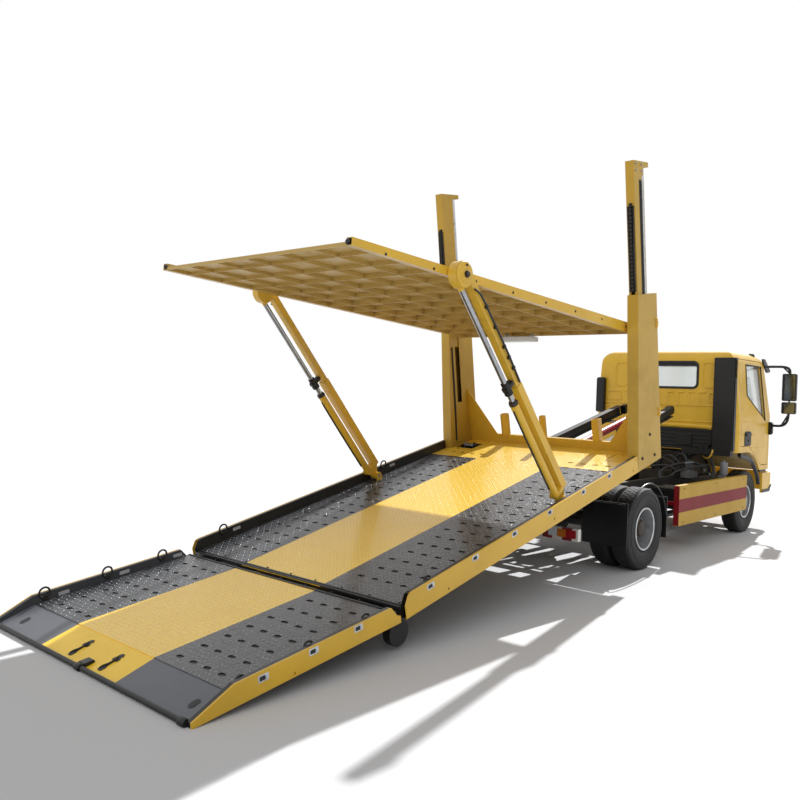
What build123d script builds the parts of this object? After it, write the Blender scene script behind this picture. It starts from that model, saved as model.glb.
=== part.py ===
from build123d import *
import os
from math import asin, atan, cos, degrees, radians, sin, sqrt, tan

os.makedirs("parts", exist_ok=True)

# Light recovery truck with two car decks. Millimetres.
# In this file x runs forward from the rear axle, y to the left and z up from the ground.
# The files are written with x counted from the middle of the whole length.

# Driving sizes: chassis and wheels
wheelbase = 3308.0
tyre_radius = 403.0
tyre_width = 205.0
rim_radius = 203.0
rim_half_width = 76.0
rear_track_outer = 1072.0
twin_tyre_gap = 30.0
front_track_outer = 950.0
kingpin_y = 670.0
frame_rail_y = 375.0
frame_rail_flange = 65.0
frame_rail_height = 180.0
frame_rail_plate = 8.0
frame_top = tyre_radius + 287.0
frame_rear_x = -1150.0
frame_front_x = 4080.0

# Driving sizes: lower deck, where it lies slid back with its ramp on the ground
deck_front_x = 62.0
deck_front_z = frame_top + 426.0
deck_angle = 13.115
deck_length = 3903.0
deck_half_width = 1164.0
rail_height = 154.0
rail_width = 40.0
rail_plate = 5.0
deck_plate_top = 64.0
deck_plate_thickness = 4.0
cross_member_pitch = 390.0
ramp_length = 1562.0
ramp_rail_height = 121.0
ramp_nose_length = 268.0
ramp_nose_height = 30.0
ramp_hinge_n = 30.0
hinge_clear = 26.0
front_wall_setback = 110.0

# Driving sizes: tilt frame and its cylinders
tilt_pivot_x = -900.0
tilt_pivot_z = frame_top + 40.0
beam_y = 340.0
beam_flange = 80.0
beam_height = 120.0
beam_plate = 10.0
beam_top_gap = 10.0
beam_front_reach = 2190.0
beam_rear_reach = 1100.0
slide_travel = 2400.0

# Driving sizes: columns, masts and upper deck
column_lean = 4.13
column_width = 109.0
column_base_depth = 510.0
column_top_depth = 400.0
column_height = 1614.0
column_plate = 6.0
mast_height = 2828.0
mast_depth = 190.0
mast_width = 85.0
mast_plate = 6.0
mast_pin_height = 1295.0
mast_foot_drop = 150.0
mast_travel = 630.0
upper_drop = 15.875
upper_pitch = 2.76
upper_half_width = 1020.0
upper_rail_top = 55.0
upper_rail_height = 95.0
upper_rail_rear_height = 50.0
upper_rail_width = 50.0
upper_front_reach = 70.0
upper_rear_reach = 3750.0
upper_plate_thickness = 4.0

# Driving sizes: struts that carry the rear of the upper deck
strut_base_s = -1742.0
strut_base_n = 106.0
strut_top_x = -2734.5
strut_top_z = 10.0
strut_y = deck_half_width - 99.0

# Driving sizes: cab
cab_rear_x = 2790.0
cab_half_width = 980.0
cab_roof_half_width = 900.0
cab_roof_z = frame_top + 1660.0
cab_rear_bottom_z = frame_top + 366.0
cab_waist_z = frame_top + 810.0
cab_panel = 40.0
cab_pivot_x = 4180.0
cab_pivot_z = frame_top + 85.0
bumper_front_x = 4290.0
door_gap = 8.0

# Clearances and shared small sizes
moving_gap = 5.0
seat_gap = 0.3
running_gap = 0.05
cut_over = 20.0
weld_lap = 2.0

# Places that follow from the driving sizes
deck_place = Location((deck_front_x, 0, deck_front_z), (0, -deck_angle, 0))
ramp_pin = (deck_place * Location((-deck_length, 0, ramp_hinge_n))).position
ramp_angle = degrees(asin(ramp_pin.Z / sqrt(ramp_length ** 2 + ramp_hinge_n ** 2)) - atan(ramp_hinge_n / ramp_length))
ramp_place = Location(ramp_pin, (0, -ramp_angle, 0)) * Location((0, 0, -ramp_hinge_n))
tail_x = (ramp_place * Location((-ramp_length, 0, 0))).position.X
middle_x = (bumper_front_x + tail_x) / 2
column_place = deck_place * Location((0, 0, 0), (0, column_lean, 0))
mast_rear_x = -(column_top_depth - column_plate - moving_gap)
mast_front_x = mast_rear_x + mast_depth
mast_middle_x = (mast_rear_x + mast_front_x) / 2
upper_pin = column_place * Location((mast_middle_x, 0, mast_pin_height))
upper_place = Location((upper_pin.position.X, 0, upper_pin.position.Z), (0, upper_pitch, 0))
strut_base = (deck_place * Location((strut_base_s, 0, strut_base_n))).position
strut_top = (upper_place * Location((strut_top_x, 0, strut_top_z))).position
strut_length = sqrt((strut_top.X - strut_base.X) ** 2 + (strut_top.Z - strut_base.Z) ** 2)
strut_tilt = -degrees(atan((strut_base.X - strut_top.X) / (strut_top.Z - strut_base.Z)))
strut_place = Location((strut_base.X, 0, strut_base.Z), (0, strut_tilt, 0))


# Helpers: each range is a (low, high) pair


def slab(x, y, z):
    """A box between two x, two y and two z values."""
    size = [pair[1] - pair[0] for pair in (x, y, z)]
    centre = [(pair[1] + pair[0]) / 2 for pair in (x, y, z)]
    return Pos(*centre) * Box(*size)


def both_sides(piece):
    """A piece and its mirror image across the truck's centre plane."""
    return piece + mirror(piece, Plane.XZ)


def rod_y(x, z, radius, y):
    """A round bar across the truck between two y values."""
    return Pos(x, (y[0] + y[1]) / 2, z) * Rot(90, 0, 0) * Cylinder(radius, y[1] - y[0])


def rod_x(y, z, radius, x):
    """A round bar along x between two x values."""
    return Pos((x[0] + x[1]) / 2, y, z) * Rot(0, 90, 0) * Cylinder(radius, x[1] - x[0])


def rod_z(x, y, radius, z):
    """A round bar along z between two z values."""
    return Pos(x, y, (z[0] + z[1]) / 2) * Cylinder(radius, z[1] - z[0])


def side_plate(points, y):
    """A flat plate whose outline lies in x and z, between two y values."""
    face = make_face(Polyline(*[(px, 0, pz) for px, pz in points], close=True))
    return Pos(0, y[1], 0) * extrude(face, amount=y[1] - y[0], dir=(0, -1, 0))


def channel_x(x, y, z, plate, open_side):
    """A rolled channel along x. open_side is 1 where it opens to +y and -1 to -y."""
    whole = slab(x, y, z)
    low, high = y
    cut_y = (low + plate, high + cut_over) if open_side > 0 else (low - cut_over, high - plate)
    return whole - slab((x[0] - cut_over, x[1] + cut_over), cut_y, (z[0] + plate, z[1] - plate))


def tube_x(x, y, z, plate):
    """A rectangular tube along x, open at both ends."""
    inside = slab((x[0] - cut_over, x[1] + cut_over), (y[0] + plate, y[1] - plate),
                  (z[0] + plate, z[1] - plate))
    return slab(x, y, z) - inside


# Chassis

frame_cross_member_shares = (0.02, 0.17, 0.42, 0.50, 0.98)
frame_cross_height = 95.0
frame_low = frame_top - frame_rail_height


def chassis_frame():
    rail = channel_x((frame_rear_x, frame_front_x), (frame_rail_y - frame_rail_flange, frame_rail_y),
                     (frame_low, frame_top), frame_rail_plate, -1)
    frame = both_sides(rail)
    span = frame_front_x - frame_rear_x
    inner = frame_rail_y - frame_rail_plate
    for share in frame_cross_member_shares:
        x = frame_rear_x + share * span
        low = frame_top - frame_cross_height
        member = slab((x - frame_rail_flange / 2, x + frame_rail_flange / 2), (-inner, inner),
                      (low, low + frame_cross_height))
        pocket = slab((x - frame_rail_flange / 2 + frame_rail_plate, x + frame_rail_flange),
                      (-inner - cut_over, inner + cut_over),
                      (low + frame_rail_plate, low + frame_cross_height - frame_rail_plate))
        frame += member - pocket
    return frame + both_sides(cab_pivot_bracket())


cab_bracket_y = 330.0
cab_bracket_plate = 14.0
cab_pivot_radius = 16.0
cab_bracket_root = 160.0


def cab_pivot_bracket():
    """The upright at the frame's front end that carries the tilting cab."""
    reach = cab_pivot_radius * 1.2
    points = [(frame_front_x - cab_bracket_root, frame_top - weld_lap),
              (frame_front_x, frame_top - weld_lap),
              (cab_pivot_x + reach, cab_pivot_z - reach),
              (cab_pivot_x + reach, cab_pivot_z),
              (cab_pivot_x - reach, cab_pivot_z)]
    y = (cab_bracket_y, cab_bracket_y + cab_bracket_plate)
    bracket = side_plate(points, y) + rod_y(cab_pivot_x, cab_pivot_z, reach, y)
    return bracket - rod_y(cab_pivot_x, cab_pivot_z, cab_pivot_radius + running_gap,
                           (y[0] - cut_over, y[1] + cut_over))


subframe_height = 50.0
subframe_front_x = 2300.0
subframe_width = 60.0
subframe_plate = 6.0
tilt_pin_radius = 22.0
tilt_ear_width = 16.0
tilt_ear_y = 300.0
subframe_rear_x = tilt_pivot_x + tilt_pin_radius * 4
tilt_cylinder_base_x = 900.0
tilt_cylinder_base_z = frame_top - 130.0
tilt_cylinder_y = 170.0
tilt_cylinder_radius = 45.0
tilt_cylinder_pin_radius = 18.0


def subframe():
    """Fixed frame on top of the chassis, with the hinge ears of the tilt frame at its rear."""
    y = (frame_rail_y - subframe_width, frame_rail_y)
    frame = both_sides(tube_x((subframe_rear_x, subframe_front_x), y,
                              (frame_top, frame_top + subframe_height), subframe_plate))
    frame += both_sides(tilt_ear())
    inner = frame_rail_y - frame_rail_plate
    base = rod_y(tilt_cylinder_base_x, tilt_cylinder_base_z, tilt_cylinder_pin_radius, (-inner, inner))
    return frame + base


def tilt_ear():
    """Hinge ear that stands on the frame's rear end beside the tilt frame's own ear."""
    half = tilt_pin_radius * 2
    x = (tilt_pivot_x - half, subframe_rear_x + weld_lap)
    ear = slab(x, (frame_rail_y - tilt_ear_width, frame_rail_y), (frame_top, tilt_pivot_z))
    ear += rod_y(tilt_pivot_x, tilt_pivot_z, half / 2 + tilt_pin_radius / 4,
                 (frame_rail_y - tilt_ear_width, frame_rail_y))
    return ear - rod_y(tilt_pivot_x, tilt_pivot_z, tilt_pin_radius + running_gap, (0, frame_rail_y * 2))


axle_beam_drop = 70.0
axle_beam_half = 45.0
axle_end_length = 90.0
axle_eye_radius = 40.0


def front_axle():
    """Forged beam, dropped between the spring seats, with a kingpin eye at each end."""
    low = tyre_radius - axle_beam_drop
    spring_y = spring_centre_y - spring_width
    beam = slab((wheelbase - axle_beam_half, wheelbase + axle_beam_half), (-kingpin_y + axle_end_length,
                kingpin_y - axle_end_length), (low - axle_beam_half, low + axle_beam_half))
    web = slab((wheelbase - axle_beam_half * 2, wheelbase - axle_beam_half / 3),
               (-spring_y, spring_y), (low - axle_beam_half / 2, low + axle_beam_half / 2))
    beam = beam - web - mirror(web, Plane.YZ.offset(wheelbase))
    end_z = (low - axle_beam_half, tyre_radius + axle_beam_half)
    end = slab((wheelbase - axle_beam_half, wheelbase + axle_beam_half),
               (kingpin_y - axle_end_length, kingpin_y), end_z)
    end += rod_z(wheelbase, kingpin_y, axle_eye_radius, end_z)
    end -= rod_z(wheelbase, kingpin_y, kingpin_radius + running_gap, (0, tyre_radius * 2))
    return beam + both_sides(end)


kingpin_radius = 22.0
knuckle_jaw = 30.0
hub_radius = 105.0
hub_length = 60.0
front_disc_y = front_track_outer - tyre_width / 2 + rim_half_width / 3
stub_radius = 30.0
drum_radius = 150.0
drum_length = 60.0


def knuckle(side):
    """Steering knuckle: kingpin, fork, stub axle and brake back plate."""
    low = tyre_radius - axle_beam_drop - axle_beam_half
    high = tyre_radius + axle_beam_half
    jaw_y = (kingpin_y - axle_beam_half, kingpin_y + axle_beam_half + moving_gap * 2)
    jaw_x = (wheelbase - axle_beam_half, wheelbase + axle_beam_half)
    back_y = kingpin_y + axle_beam_half + moving_gap
    piece = rod_z(wheelbase, kingpin_y, kingpin_radius, (low - knuckle_jaw, high + knuckle_jaw))
    piece += slab(jaw_x, jaw_y, (low - knuckle_jaw - moving_gap, low - moving_gap))
    piece += slab(jaw_x, jaw_y, (high + moving_gap, high + knuckle_jaw + moving_gap))
    piece += slab(jaw_x, (back_y, back_y + knuckle_jaw), (low - knuckle_jaw - moving_gap,
                                                          high + knuckle_jaw + moving_gap))
    piece += rod_y(wheelbase, tyre_radius, stub_radius, (back_y, front_disc_y + hub_length / 2))
    return piece if side > 0 else mirror(piece, Plane.XZ)


spring_centre_y = 440.0
spring_width = 70.0
spring_leaf = 12.0
spring_half_length = 620.0
spring_rise = 90.0
leaf_length_shares = (1.0, 0.86, 0.72, 0.58, 0.44)


def leaf_spring(axle_x, seat_z):
    """A pack of curved leaves, the longest on top, clamped over the axle."""
    pack = None
    for index, share in enumerate(leaf_length_shares):
        half = spring_half_length * share
        z = seat_z - index * spring_leaf
        rise = spring_rise * share * share
        low = ThreePointArc((axle_x - half, 0, z + rise), (axle_x, 0, z), (axle_x + half, 0, z + rise))
        high = ThreePointArc((axle_x - half, 0, z + rise + spring_leaf), (axle_x, 0, z + spring_leaf),
                             (axle_x + half, 0, z + rise + spring_leaf))
        ends = [Line(low @ 0, high @ 0), Line(low @ 1, high @ 1)]
        face = make_face([low, high] + ends)
        leaf = Pos(0, spring_centre_y + spring_width / 2, 0) * extrude(face, amount=spring_width,
                                                                     dir=(0, -1, 0))
        pack = leaf if pack is None else pack + leaf
    top = seat_z + spring_rise + spring_leaf
    for way in (-1, 1):
        x = axle_x + way * (spring_half_length - spring_width)
        pack += slab((x - spring_leaf * 2, x + spring_leaf * 2),
                     (frame_rail_y, spring_centre_y + spring_width / 2), (top - spring_leaf * 2, top + spring_leaf * 4))
    return pack


def leaf_springs():
    pack_height = spring_leaf * (len(leaf_length_shares) - 1) + seat_gap
    seat = tyre_radius + axle_beam_half + pack_height
    rear_seat = tyre_radius + axle_tube_radius + pack_height
    front = leaf_spring(wheelbase, seat - axle_beam_drop)
    return both_sides(front) + both_sides(leaf_spring(0, rear_seat))


axle_tube_radius = 60.0
banjo_radius = 175.0
banjo_depth = 190.0
banjo_cover_radius = 130.0
axle_tube_end = 900.0
shaft_radius = 45.0
gearbox_rear_x = 2500.0


def rear_axle():
    """Banjo housing with its tubes and the propeller shaft that runs to the gearbox."""
    tube = rod_y(0, tyre_radius, axle_tube_radius, (-axle_tube_end, axle_tube_end))
    bowl = rod_x(0, tyre_radius, banjo_radius, (-banjo_depth / 2, banjo_depth / 2))
    bowl += rod_x(0, tyre_radius, banjo_cover_radius, (-banjo_depth * 0.75, 0))
    nose = rod_x(0, tyre_radius, shaft_radius * 1.4, (0, banjo_radius * 1.6))
    return tube + bowl + nose


def propeller_shaft():
    run = gearbox_rear_x - banjo_radius * 1.6
    rise = engine_low_z + engine_height / 3 - tyre_radius
    slope = degrees(atan(rise / run))
    length = sqrt(run * run + rise * rise)
    trim = shaft_radius * tan(radians(slope)) + seat_gap
    shaft = Rot(0, 90 - slope, 0) * Pos(0, 0, length / 2) * Cylinder(shaft_radius, length - 2 * trim)
    return Pos(banjo_radius * 1.6, 0, tyre_radius) * shaft


engine_low_z = frame_top - 260.0
engine_height = 560.0
engine_half_width = 270.0
engine_front_x = 3900.0
engine_rear_x = 3080.0
gearbox_half = 170.0
engine_foot_half = 50.0


def engine():
    """Engine as one plain block with the gearbox behind it."""
    block = slab((engine_rear_x, engine_front_x), (-engine_half_width, engine_half_width),
                 (engine_low_z, engine_low_z + engine_height))
    box = slab((gearbox_rear_x, engine_rear_x + weld_lap), (-gearbox_half, gearbox_half),
               (engine_low_z, engine_low_z + gearbox_half * 2))
    web = frame_rail_y - frame_rail_plate - seat_gap
    for x in (engine_rear_x + gearbox_half, engine_front_x - gearbox_half):
        block += slab((x - engine_foot_half, x + engine_foot_half), (-web, web),
                      (frame_low + engine_foot_half, frame_low + engine_foot_half * 2))
    return block + box


tank_x = (1350.0, 2150.0)
tank_y = (440.0, 940.0)
tank_z = (frame_top - 330.0, frame_top - 30.0)
tank_round = 60.0


def fuel_tank():
    tank = slab(tank_x, tank_y, tank_z)
    tank = fillet(tank.edges().filter_by(Axis.X), tank_round)
    hanger = slab((tank_x[0] + tank_round * 2, tank_x[0] + tank_round * 3),
                  (frame_rail_y, tank_y[0] + weld_lap), (tank_z[0] + tank_round * 2, tank_z[1] - tank_round))
    return tank + hanger + Pos((tank_x[1] - tank_x[0]) * 0.6, 0, 0) * hanger


guard_x = (770.0, 2900.0)
guard_y = 1080.0
guard_z = (frame_top - 337.0, frame_top + 92.0)
guard_depth = 60.0
guard_round = 8.0
guard_plate = 6.0
guard_arm_shares = (0.07, 0.66, 0.86)
guard_arm_half = 20.0


def side_guards():
    """Pressed side panels between the axles, each on arms from the frame."""
    panel = slab(guard_x, (guard_y - guard_depth, guard_y), guard_z)
    panel = fillet(panel.edges().filter_by(Axis.Y), guard_round)
    inner = slab((guard_x[0] + guard_plate, guard_x[1] - guard_plate),
                 (guard_y - guard_depth - cut_over, guard_y - guard_plate),
                 (guard_z[0] + guard_plate, guard_z[1] - guard_plate))
    panel -= inner
    arm_z = frame_top - frame_rail_height / 2
    for share in guard_arm_shares:
        x = guard_x[0] + share * (guard_x[1] - guard_x[0])
        panel += slab((x - guard_arm_half, x + guard_arm_half),
                      (frame_rail_y, guard_y - guard_plate / 2), (frame_low + arm_drop, frame_low + arm_drop * 2))
    return both_sides(panel)


arm_drop = 40.0
underrun_half_width = 960.0
underrun_z = (frame_low - 115.0, frame_low - 5.0)
underrun_depth = 50.0
underrun_x = -1150.0
underrun_post_y = 340.0


def underrun_bar():
    """Square bar behind the rear wheels, on two posts from the frame's end."""
    bar = slab((underrun_x - underrun_depth / 2, underrun_x + underrun_depth / 2),
               (-underrun_half_width, underrun_half_width), underrun_z)
    post = slab((underrun_x + underrun_depth / 2 - weld_lap, underrun_x + underrun_depth),
                (underrun_post_y - underrun_depth / 2, underrun_post_y + underrun_depth / 2),
                (underrun_z[0], frame_low))
    foot = slab((underrun_x + weld_lap, underrun_x + underrun_depth * 2),
                (underrun_post_y - underrun_depth / 2, underrun_post_y + underrun_depth / 2),
                (frame_low - underrun_depth / 4, frame_low))
    return bar + both_sides(post + foot)


mudguard_radius = tyre_radius + 45.0
mudguard_plate = 4.0
mudguard_y = (rear_track_outer - tyre_width * 2 - twin_tyre_gap - 20.0, rear_track_outer + 10.0)
mudflap_low_z = tyre_radius - 133.0


def mudguards():
    """Flat topped guards ahead of and behind the rear wheels, each with its flap."""
    pieces = None
    for way in (-1, 1):
        x = way * (mudguard_radius + moving_gap)
        flap = slab((x - mudguard_plate, x + mudguard_plate), mudguard_y, (mudflap_low_z, mudflap_top_z))
        arm = slab((x - guard_arm_half, x + guard_arm_half), (frame_rail_y, mudguard_y[0] + weld_lap),
                   (mudflap_top_z - guard_arm_half * 2, mudflap_top_z))
        piece = both_sides(flap + arm)
        pieces = piece if pieces is None else pieces + piece
    return pieces


mudflap_top_z = frame_top

bumper_z = (frame_top - 202.0, frame_top + 62.0)
bumper_half_width = 990.0
bumper_plate = 30.0
bumper_end_x = 3800.0
bumper_round = 160.0


def front_bumper():
    """Wrap-round bumper with its lower step, on two arms from the frame."""
    outer = slab((bumper_end_x, bumper_front_x), (-bumper_half_width, bumper_half_width), bumper_z)
    outer = fillet(outer.edges().filter_by(Axis.Z).group_by(Axis.X)[-1], bumper_round)
    inner = slab((bumper_end_x - cut_over, bumper_front_x - bumper_plate),
                 (-bumper_half_width + bumper_plate, bumper_half_width - bumper_plate),
                 (bumper_z[0] - cut_over, bumper_z[1] + cut_over))
    inner = fillet(inner.edges().filter_by(Axis.Z).group_by(Axis.X)[-1], bumper_round - bumper_plate)
    arm = slab((frame_front_x, bumper_front_x - bumper_plate + weld_lap),
               (frame_rail_y - frame_rail_flange, frame_rail_y), (frame_low + arm_drop, frame_top - arm_drop))
    return outer - inner + both_sides(arm)


duct_x = (2690.0, 2778.0)
duct_y = (-960.0, -690.0)
duct_z = (frame_top + 390.0, frame_top + 1565.0)
duct_plate = 4.0
duct_mouth_height = 260.0
duct_corner = 14.0
duct_elbow_height = 70.0


def air_intake_duct():
    """Tall flat intake duct behind the cab's right side, with a mouth near its top."""
    duct = slab(duct_x, duct_y, duct_z)
    duct = chamfer(duct.edges().filter_by(Axis.Z), duct_corner)
    duct -= slab((duct_x[0] + duct_plate, duct_x[1] - duct_plate), (duct_y[0] + duct_plate,
                 duct_y[1] - duct_plate), (duct_z[0] - cut_over, duct_z[1] - duct_plate))
    mouth = slab((duct_x[0] + duct_plate * 4, duct_x[1] - duct_plate * 4), (duct_y[0] - cut_over,
                 duct_y[0] + duct_plate * 2), (duct_z[1] - duct_mouth_height, duct_z[1] - duct_plate * 6))
    elbow = slab((duct_x[0] + duct_plate, duct_x[1] - duct_plate), (duct_y[0] + duct_corner * 2, -frame_rail_y),
                 (duct_z[0] - duct_elbow_height, duct_z[0] + duct_corner))
    leg = slab((duct_x[0] + duct_plate, duct_x[1] - duct_plate),
               (-frame_rail_y - weld_lap, -frame_rail_y + frame_rail_flange), (frame_top, duct_z[0] + duct_corner))
    return duct - mouth + elbow + leg


# Wheels

rim_disc = 10.0
rim_bore = 75.0
rim_hole_count = 6
rim_hole_radius = 22.0
rim_hole_circle = 150.0
tyre_bead_radius = rim_radius + seat_gap
# Right half of the tyre's section: share of the depth from bead to crown, share of the half width
tyre_section_shares = ((0.0, 0.74), (0.1, 0.74), (0.32, 0.94), (0.52, 1.0), (0.78, 0.97), (0.93, 0.88), (1.0, 0.68))


def tyre():
    """Tyre about the y axis, its middle at y zero: bead, side wall, shoulder and crown."""
    half = tyre_width / 2
    depth = tyre_radius - tyre_bead_radius
    side = [(tyre_bead_radius + depth * radius_share, half * width_share)
            for radius_share, width_share in tyre_section_shares]
    outline = side + [(radius, -y) for radius, y in reversed(side)]
    return revolve(make_face(Polyline(*outline, close=True)), Axis.Y)


def rim(disc_y):
    """Wheel rim about the y axis: a barrel with flanges and a holed disc at disc_y."""
    barrel = rod_y(0, 0, rim_radius, (-rim_half_width, rim_half_width))
    barrel += rod_y(0, 0, rim_radius + rim_disc, (-rim_half_width - rim_disc, -rim_half_width - seat_gap))
    barrel += rod_y(0, 0, rim_radius + rim_disc, (rim_half_width + seat_gap, rim_half_width + rim_disc))
    barrel += rod_y(0, 0, rim_radius, (-rim_half_width - rim_disc, rim_half_width + rim_disc))
    barrel -= rod_y(0, 0, rim_radius - rim_disc, (-tyre_width, tyre_width))
    disc = rod_y(0, 0, rim_radius - rim_disc / 2, (disc_y - rim_disc / 2, disc_y + rim_disc / 2))
    disc -= rod_y(0, 0, rim_bore, (-tyre_width, tyre_width))
    for index in range(rim_hole_count):
        turn = index * 360 / rim_hole_count
        hole = Pos(rim_hole_circle * cos(radians(turn)), 0, rim_hole_circle * sin(radians(turn)))
        disc -= hole * Rot(90, 0, 0) * Cylinder(rim_hole_radius, tyre_width * 2)
    return barrel + disc


front_wheel_y = front_track_outer - tyre_width / 2
rear_wheel_ys = (rear_track_outer - tyre_width / 2, rear_track_outer - tyre_width * 1.5 - twin_tyre_gap)
hub_cap_length = 70.0


def front_rim():
    """Front wheel with its hub; the disc stands out to the side."""
    disc_y = rim_half_width / 3
    hub = rod_y(0, 0, hub_radius - moving_gap, (disc_y - hub_length, disc_y + hub_length))
    hub -= rod_y(0, 0, stub_radius + running_gap, (-tyre_width, disc_y + hub_length / 2 + moving_gap))
    return Pos(wheelbase, front_wheel_y, tyre_radius) * (rim(disc_y) + hub)


def rear_rims():
    """Twin rims back to back on one hub and drum."""
    outer = Pos(0, rear_wheel_ys[0], 0) * rim(-rim_half_width * 0.8)
    inner = Pos(0, rear_wheel_ys[1], 0) * rim(rim_half_width * 0.8)
    hub = rod_y(0, 0, hub_radius - moving_gap,
                (rear_wheel_ys[1] + rim_half_width * 0.5, rear_wheel_ys[0] + hub_cap_length / 2))
    bore = rod_y(0, 0, axle_tube_radius + running_gap, (0, axle_tube_end + moving_gap))
    return Pos(0, 0, tyre_radius) * (outer + inner + hub - bore)


def rear_tyres():
    return Pos(0, rear_wheel_ys[0], tyre_radius) * tyre() + Pos(0, rear_wheel_ys[1], tyre_radius) * tyre()


# Cab

roof_front_x = 3720.0
screen_top_x = 3900.0
screen_top_z = frame_top + 1600.0
screen_base_x = 4090.0
screen_base_z = frame_top + 730.0
nose_x = 4190.0
nose_top_z = frame_top + 640.0
nose_bottom_x = 4215.0
nose_bottom_z = frame_top + 110.0
arch_front_x = 3700.0
arch_mid_x = 3520.0
arch_mid_z = frame_top + 270.0
arch_rear_x = 3200.0
cab_roof_round = 190.0
cab_rear_roof_round = 140.0
cab_front_round = 180.0
cab_rear_round = 90.0
roof_crown = 3.0
tunnel_half_width = engine_half_width + 30.0
tunnel_top_z = engine_low_z + engine_height + 40.0


def cab_side_outline(inset):
    """Closed side outline of the cab, drawn in by inset."""
    i = inset
    rear, roof = cab_rear_x + i, cab_roof_z - i
    points = [(rear, cab_rear_bottom_z + i), (rear, roof), (roof_front_x, roof),
              (screen_top_x - i, screen_top_z - i / 2),
              (screen_base_x - i, screen_base_z - i / 4), (nose_x - i, nose_top_z),
              (nose_bottom_x - i, nose_bottom_z + i), (arch_front_x + i, nose_bottom_z + i)]
    lines = Polyline(*[(x, 0, z) for x, z in points])
    arch = ThreePointArc((arch_front_x + i, 0, nose_bottom_z + i), (arch_mid_x + i / 2, 0, arch_mid_z + i),
                         (arch_rear_x, 0, cab_rear_bottom_z + i))
    close = Line((arch_rear_x, 0, cab_rear_bottom_z + i), (rear, 0, cab_rear_bottom_z + i))
    face = make_face([*lines.edges(), arch, close])
    corner = face.vertices().sort_by_distance((rear, 0, roof))[0]
    return fillet(corner, cab_rear_roof_round - inset)


def cab_front_outline(inset):
    """Closed front outline: upright sides to the waist, then leaning in to a rounded roof."""
    half = cab_half_width - inset
    top_half = cab_roof_half_width - inset
    roof = cab_roof_z - inset + roof_crown
    points = [(0, -half, 0), (0, -half, cab_waist_z), (0, -top_half, roof), (0, top_half, roof),
              (0, half, cab_waist_z), (0, half, 0)]
    face = make_face(Polyline(*points, close=True))
    return fillet(face.vertices().group_by(Axis.Z)[-1], cab_roof_round - inset)


def cab_plan(inset):
    """Block with the cab's rounded corners as seen from above."""
    half = cab_half_width - inset
    block = slab((cab_rear_x + inset, nose_bottom_x - inset), (-half, half), (0, cab_roof_z * 2))
    corners = block.edges().filter_by(Axis.Z).group_by(Axis.X)
    block = fillet(corners[-1], cab_front_round - inset)
    return fillet(block.edges().filter_by(Axis.Z).group_by(Axis.X)[0], cab_rear_round - inset)


def cab_solid(inset):
    side = extrude(cab_side_outline(inset), amount=cab_half_width, both=True)
    front = Pos(cab_rear_x - cut_over, 0, 0) * extrude(cab_front_outline(inset),
                                                       amount=bumper_front_x - cab_rear_x, dir=(1, 0, 0))
    return side & front & cab_plan(inset)


door_rear_x = 2930.0
door_front_x = 4000.0
door_low_z = nose_bottom_z + 70.0
door_rear_low_z = cab_rear_bottom_z + 84.0
door_top_z = frame_top + 1560.0
door_arch_x = 3240.0
door_arch_front_x = 3740.0
window_rear_top = (3185.0, frame_top + 1500.0)
window_rear_low = (3165.0, frame_top + 1100.0)
window_front_low = (3850.0, frame_top + 775.0)
window_front_top = (3775.0, frame_top + 1500.0)
window_glass = 5.0
screen_half_low = 850.0
screen_half_top = 780.0
rear_window_half = 450.0
rear_window_z = (frame_top + 1175.0, frame_top + 1515.0)
rear_window_round = 60.0
seal_gap = 0.3


def door_outline(grow):
    g = grow
    slope = (screen_base_x - screen_top_x) / (screen_base_z - screen_top_z)
    top_x = door_front_x + (door_top_z - screen_base_z) * slope
    return [(door_rear_x - g, door_rear_low_z - g), (door_rear_x - g, door_top_z + g), (top_x + g, door_top_z + g),
            (door_front_x + g, screen_base_z), (door_front_x + g, door_low_z - g), (door_arch_front_x, door_low_z - g),
            (door_arch_x, door_rear_low_z - g)]


def window_outline(grow):
    g = grow
    return [(window_rear_top[0] - g, window_rear_top[1] + g), (window_rear_low[0] - g, window_rear_low[1] - g),
            (window_front_low[0] + g, window_front_low[1] - g), (window_front_top[0] + g, window_front_top[1] + g)]


def side_cut(points, side):
    y = (cab_roof_half_width / 2, cab_half_width + cut_over)
    cut = side_plate(points, y)
    return cut if side > 0 else mirror(cut, Plane.XZ)


def cab_side_band():
    """The side walls alone, from the sill to the roof, as thick as a door."""
    start = Pos(cab_rear_x - cut_over, 0, 0)
    run = bumper_front_x - cab_rear_x
    return start * (extrude(cab_front_outline(0), amount=run, dir=(1, 0, 0))
                    - extrude(cab_front_outline(cab_panel), amount=run, dir=(1, 0, 0)))


def cab_shell():
    """The whole thin cab with its window openings, still in one piece."""
    shell = cab_solid(0) - cab_solid(cab_panel)
    rear = slab((cab_rear_x - cut_over, cab_rear_x + cab_panel * 2), (-rear_window_half, rear_window_half),
                rear_window_z)
    shell -= fillet(rear.edges().filter_by(Axis.X), rear_window_round)
    return shell - screen_cut()


def screen_cut():
    """Prism through the front of the cab with the outline of the windscreen."""
    points = [(0, -screen_half_low, screen_base_z + cab_panel), (0, screen_half_low, screen_base_z + cab_panel),
              (0, screen_half_top, screen_top_z - cab_panel * 2), (0, -screen_half_top, screen_top_z - cab_panel * 2)]
    face = make_face(Polyline(*points, close=True))
    return Pos(roof_front_x, 0, 0) * extrude(face, amount=bumper_front_x - roof_front_x, dir=(1, 0, 0))


def windscreen():
    """Glass slab that follows the sloping front between its edges."""
    inner = screen_cut()
    low_x, low_z, top_x, top_z = screen_base_x, screen_base_z, screen_top_x, screen_top_z
    inset = cab_panel / 3
    sheet = side_plate([(low_x - inset, low_z), (low_x - inset - window_glass * 2, low_z),
                        (top_x - inset - window_glass * 2, top_z), (top_x - inset, top_z)],
                       (-screen_half_low, screen_half_low))
    return sheet & inner


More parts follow.
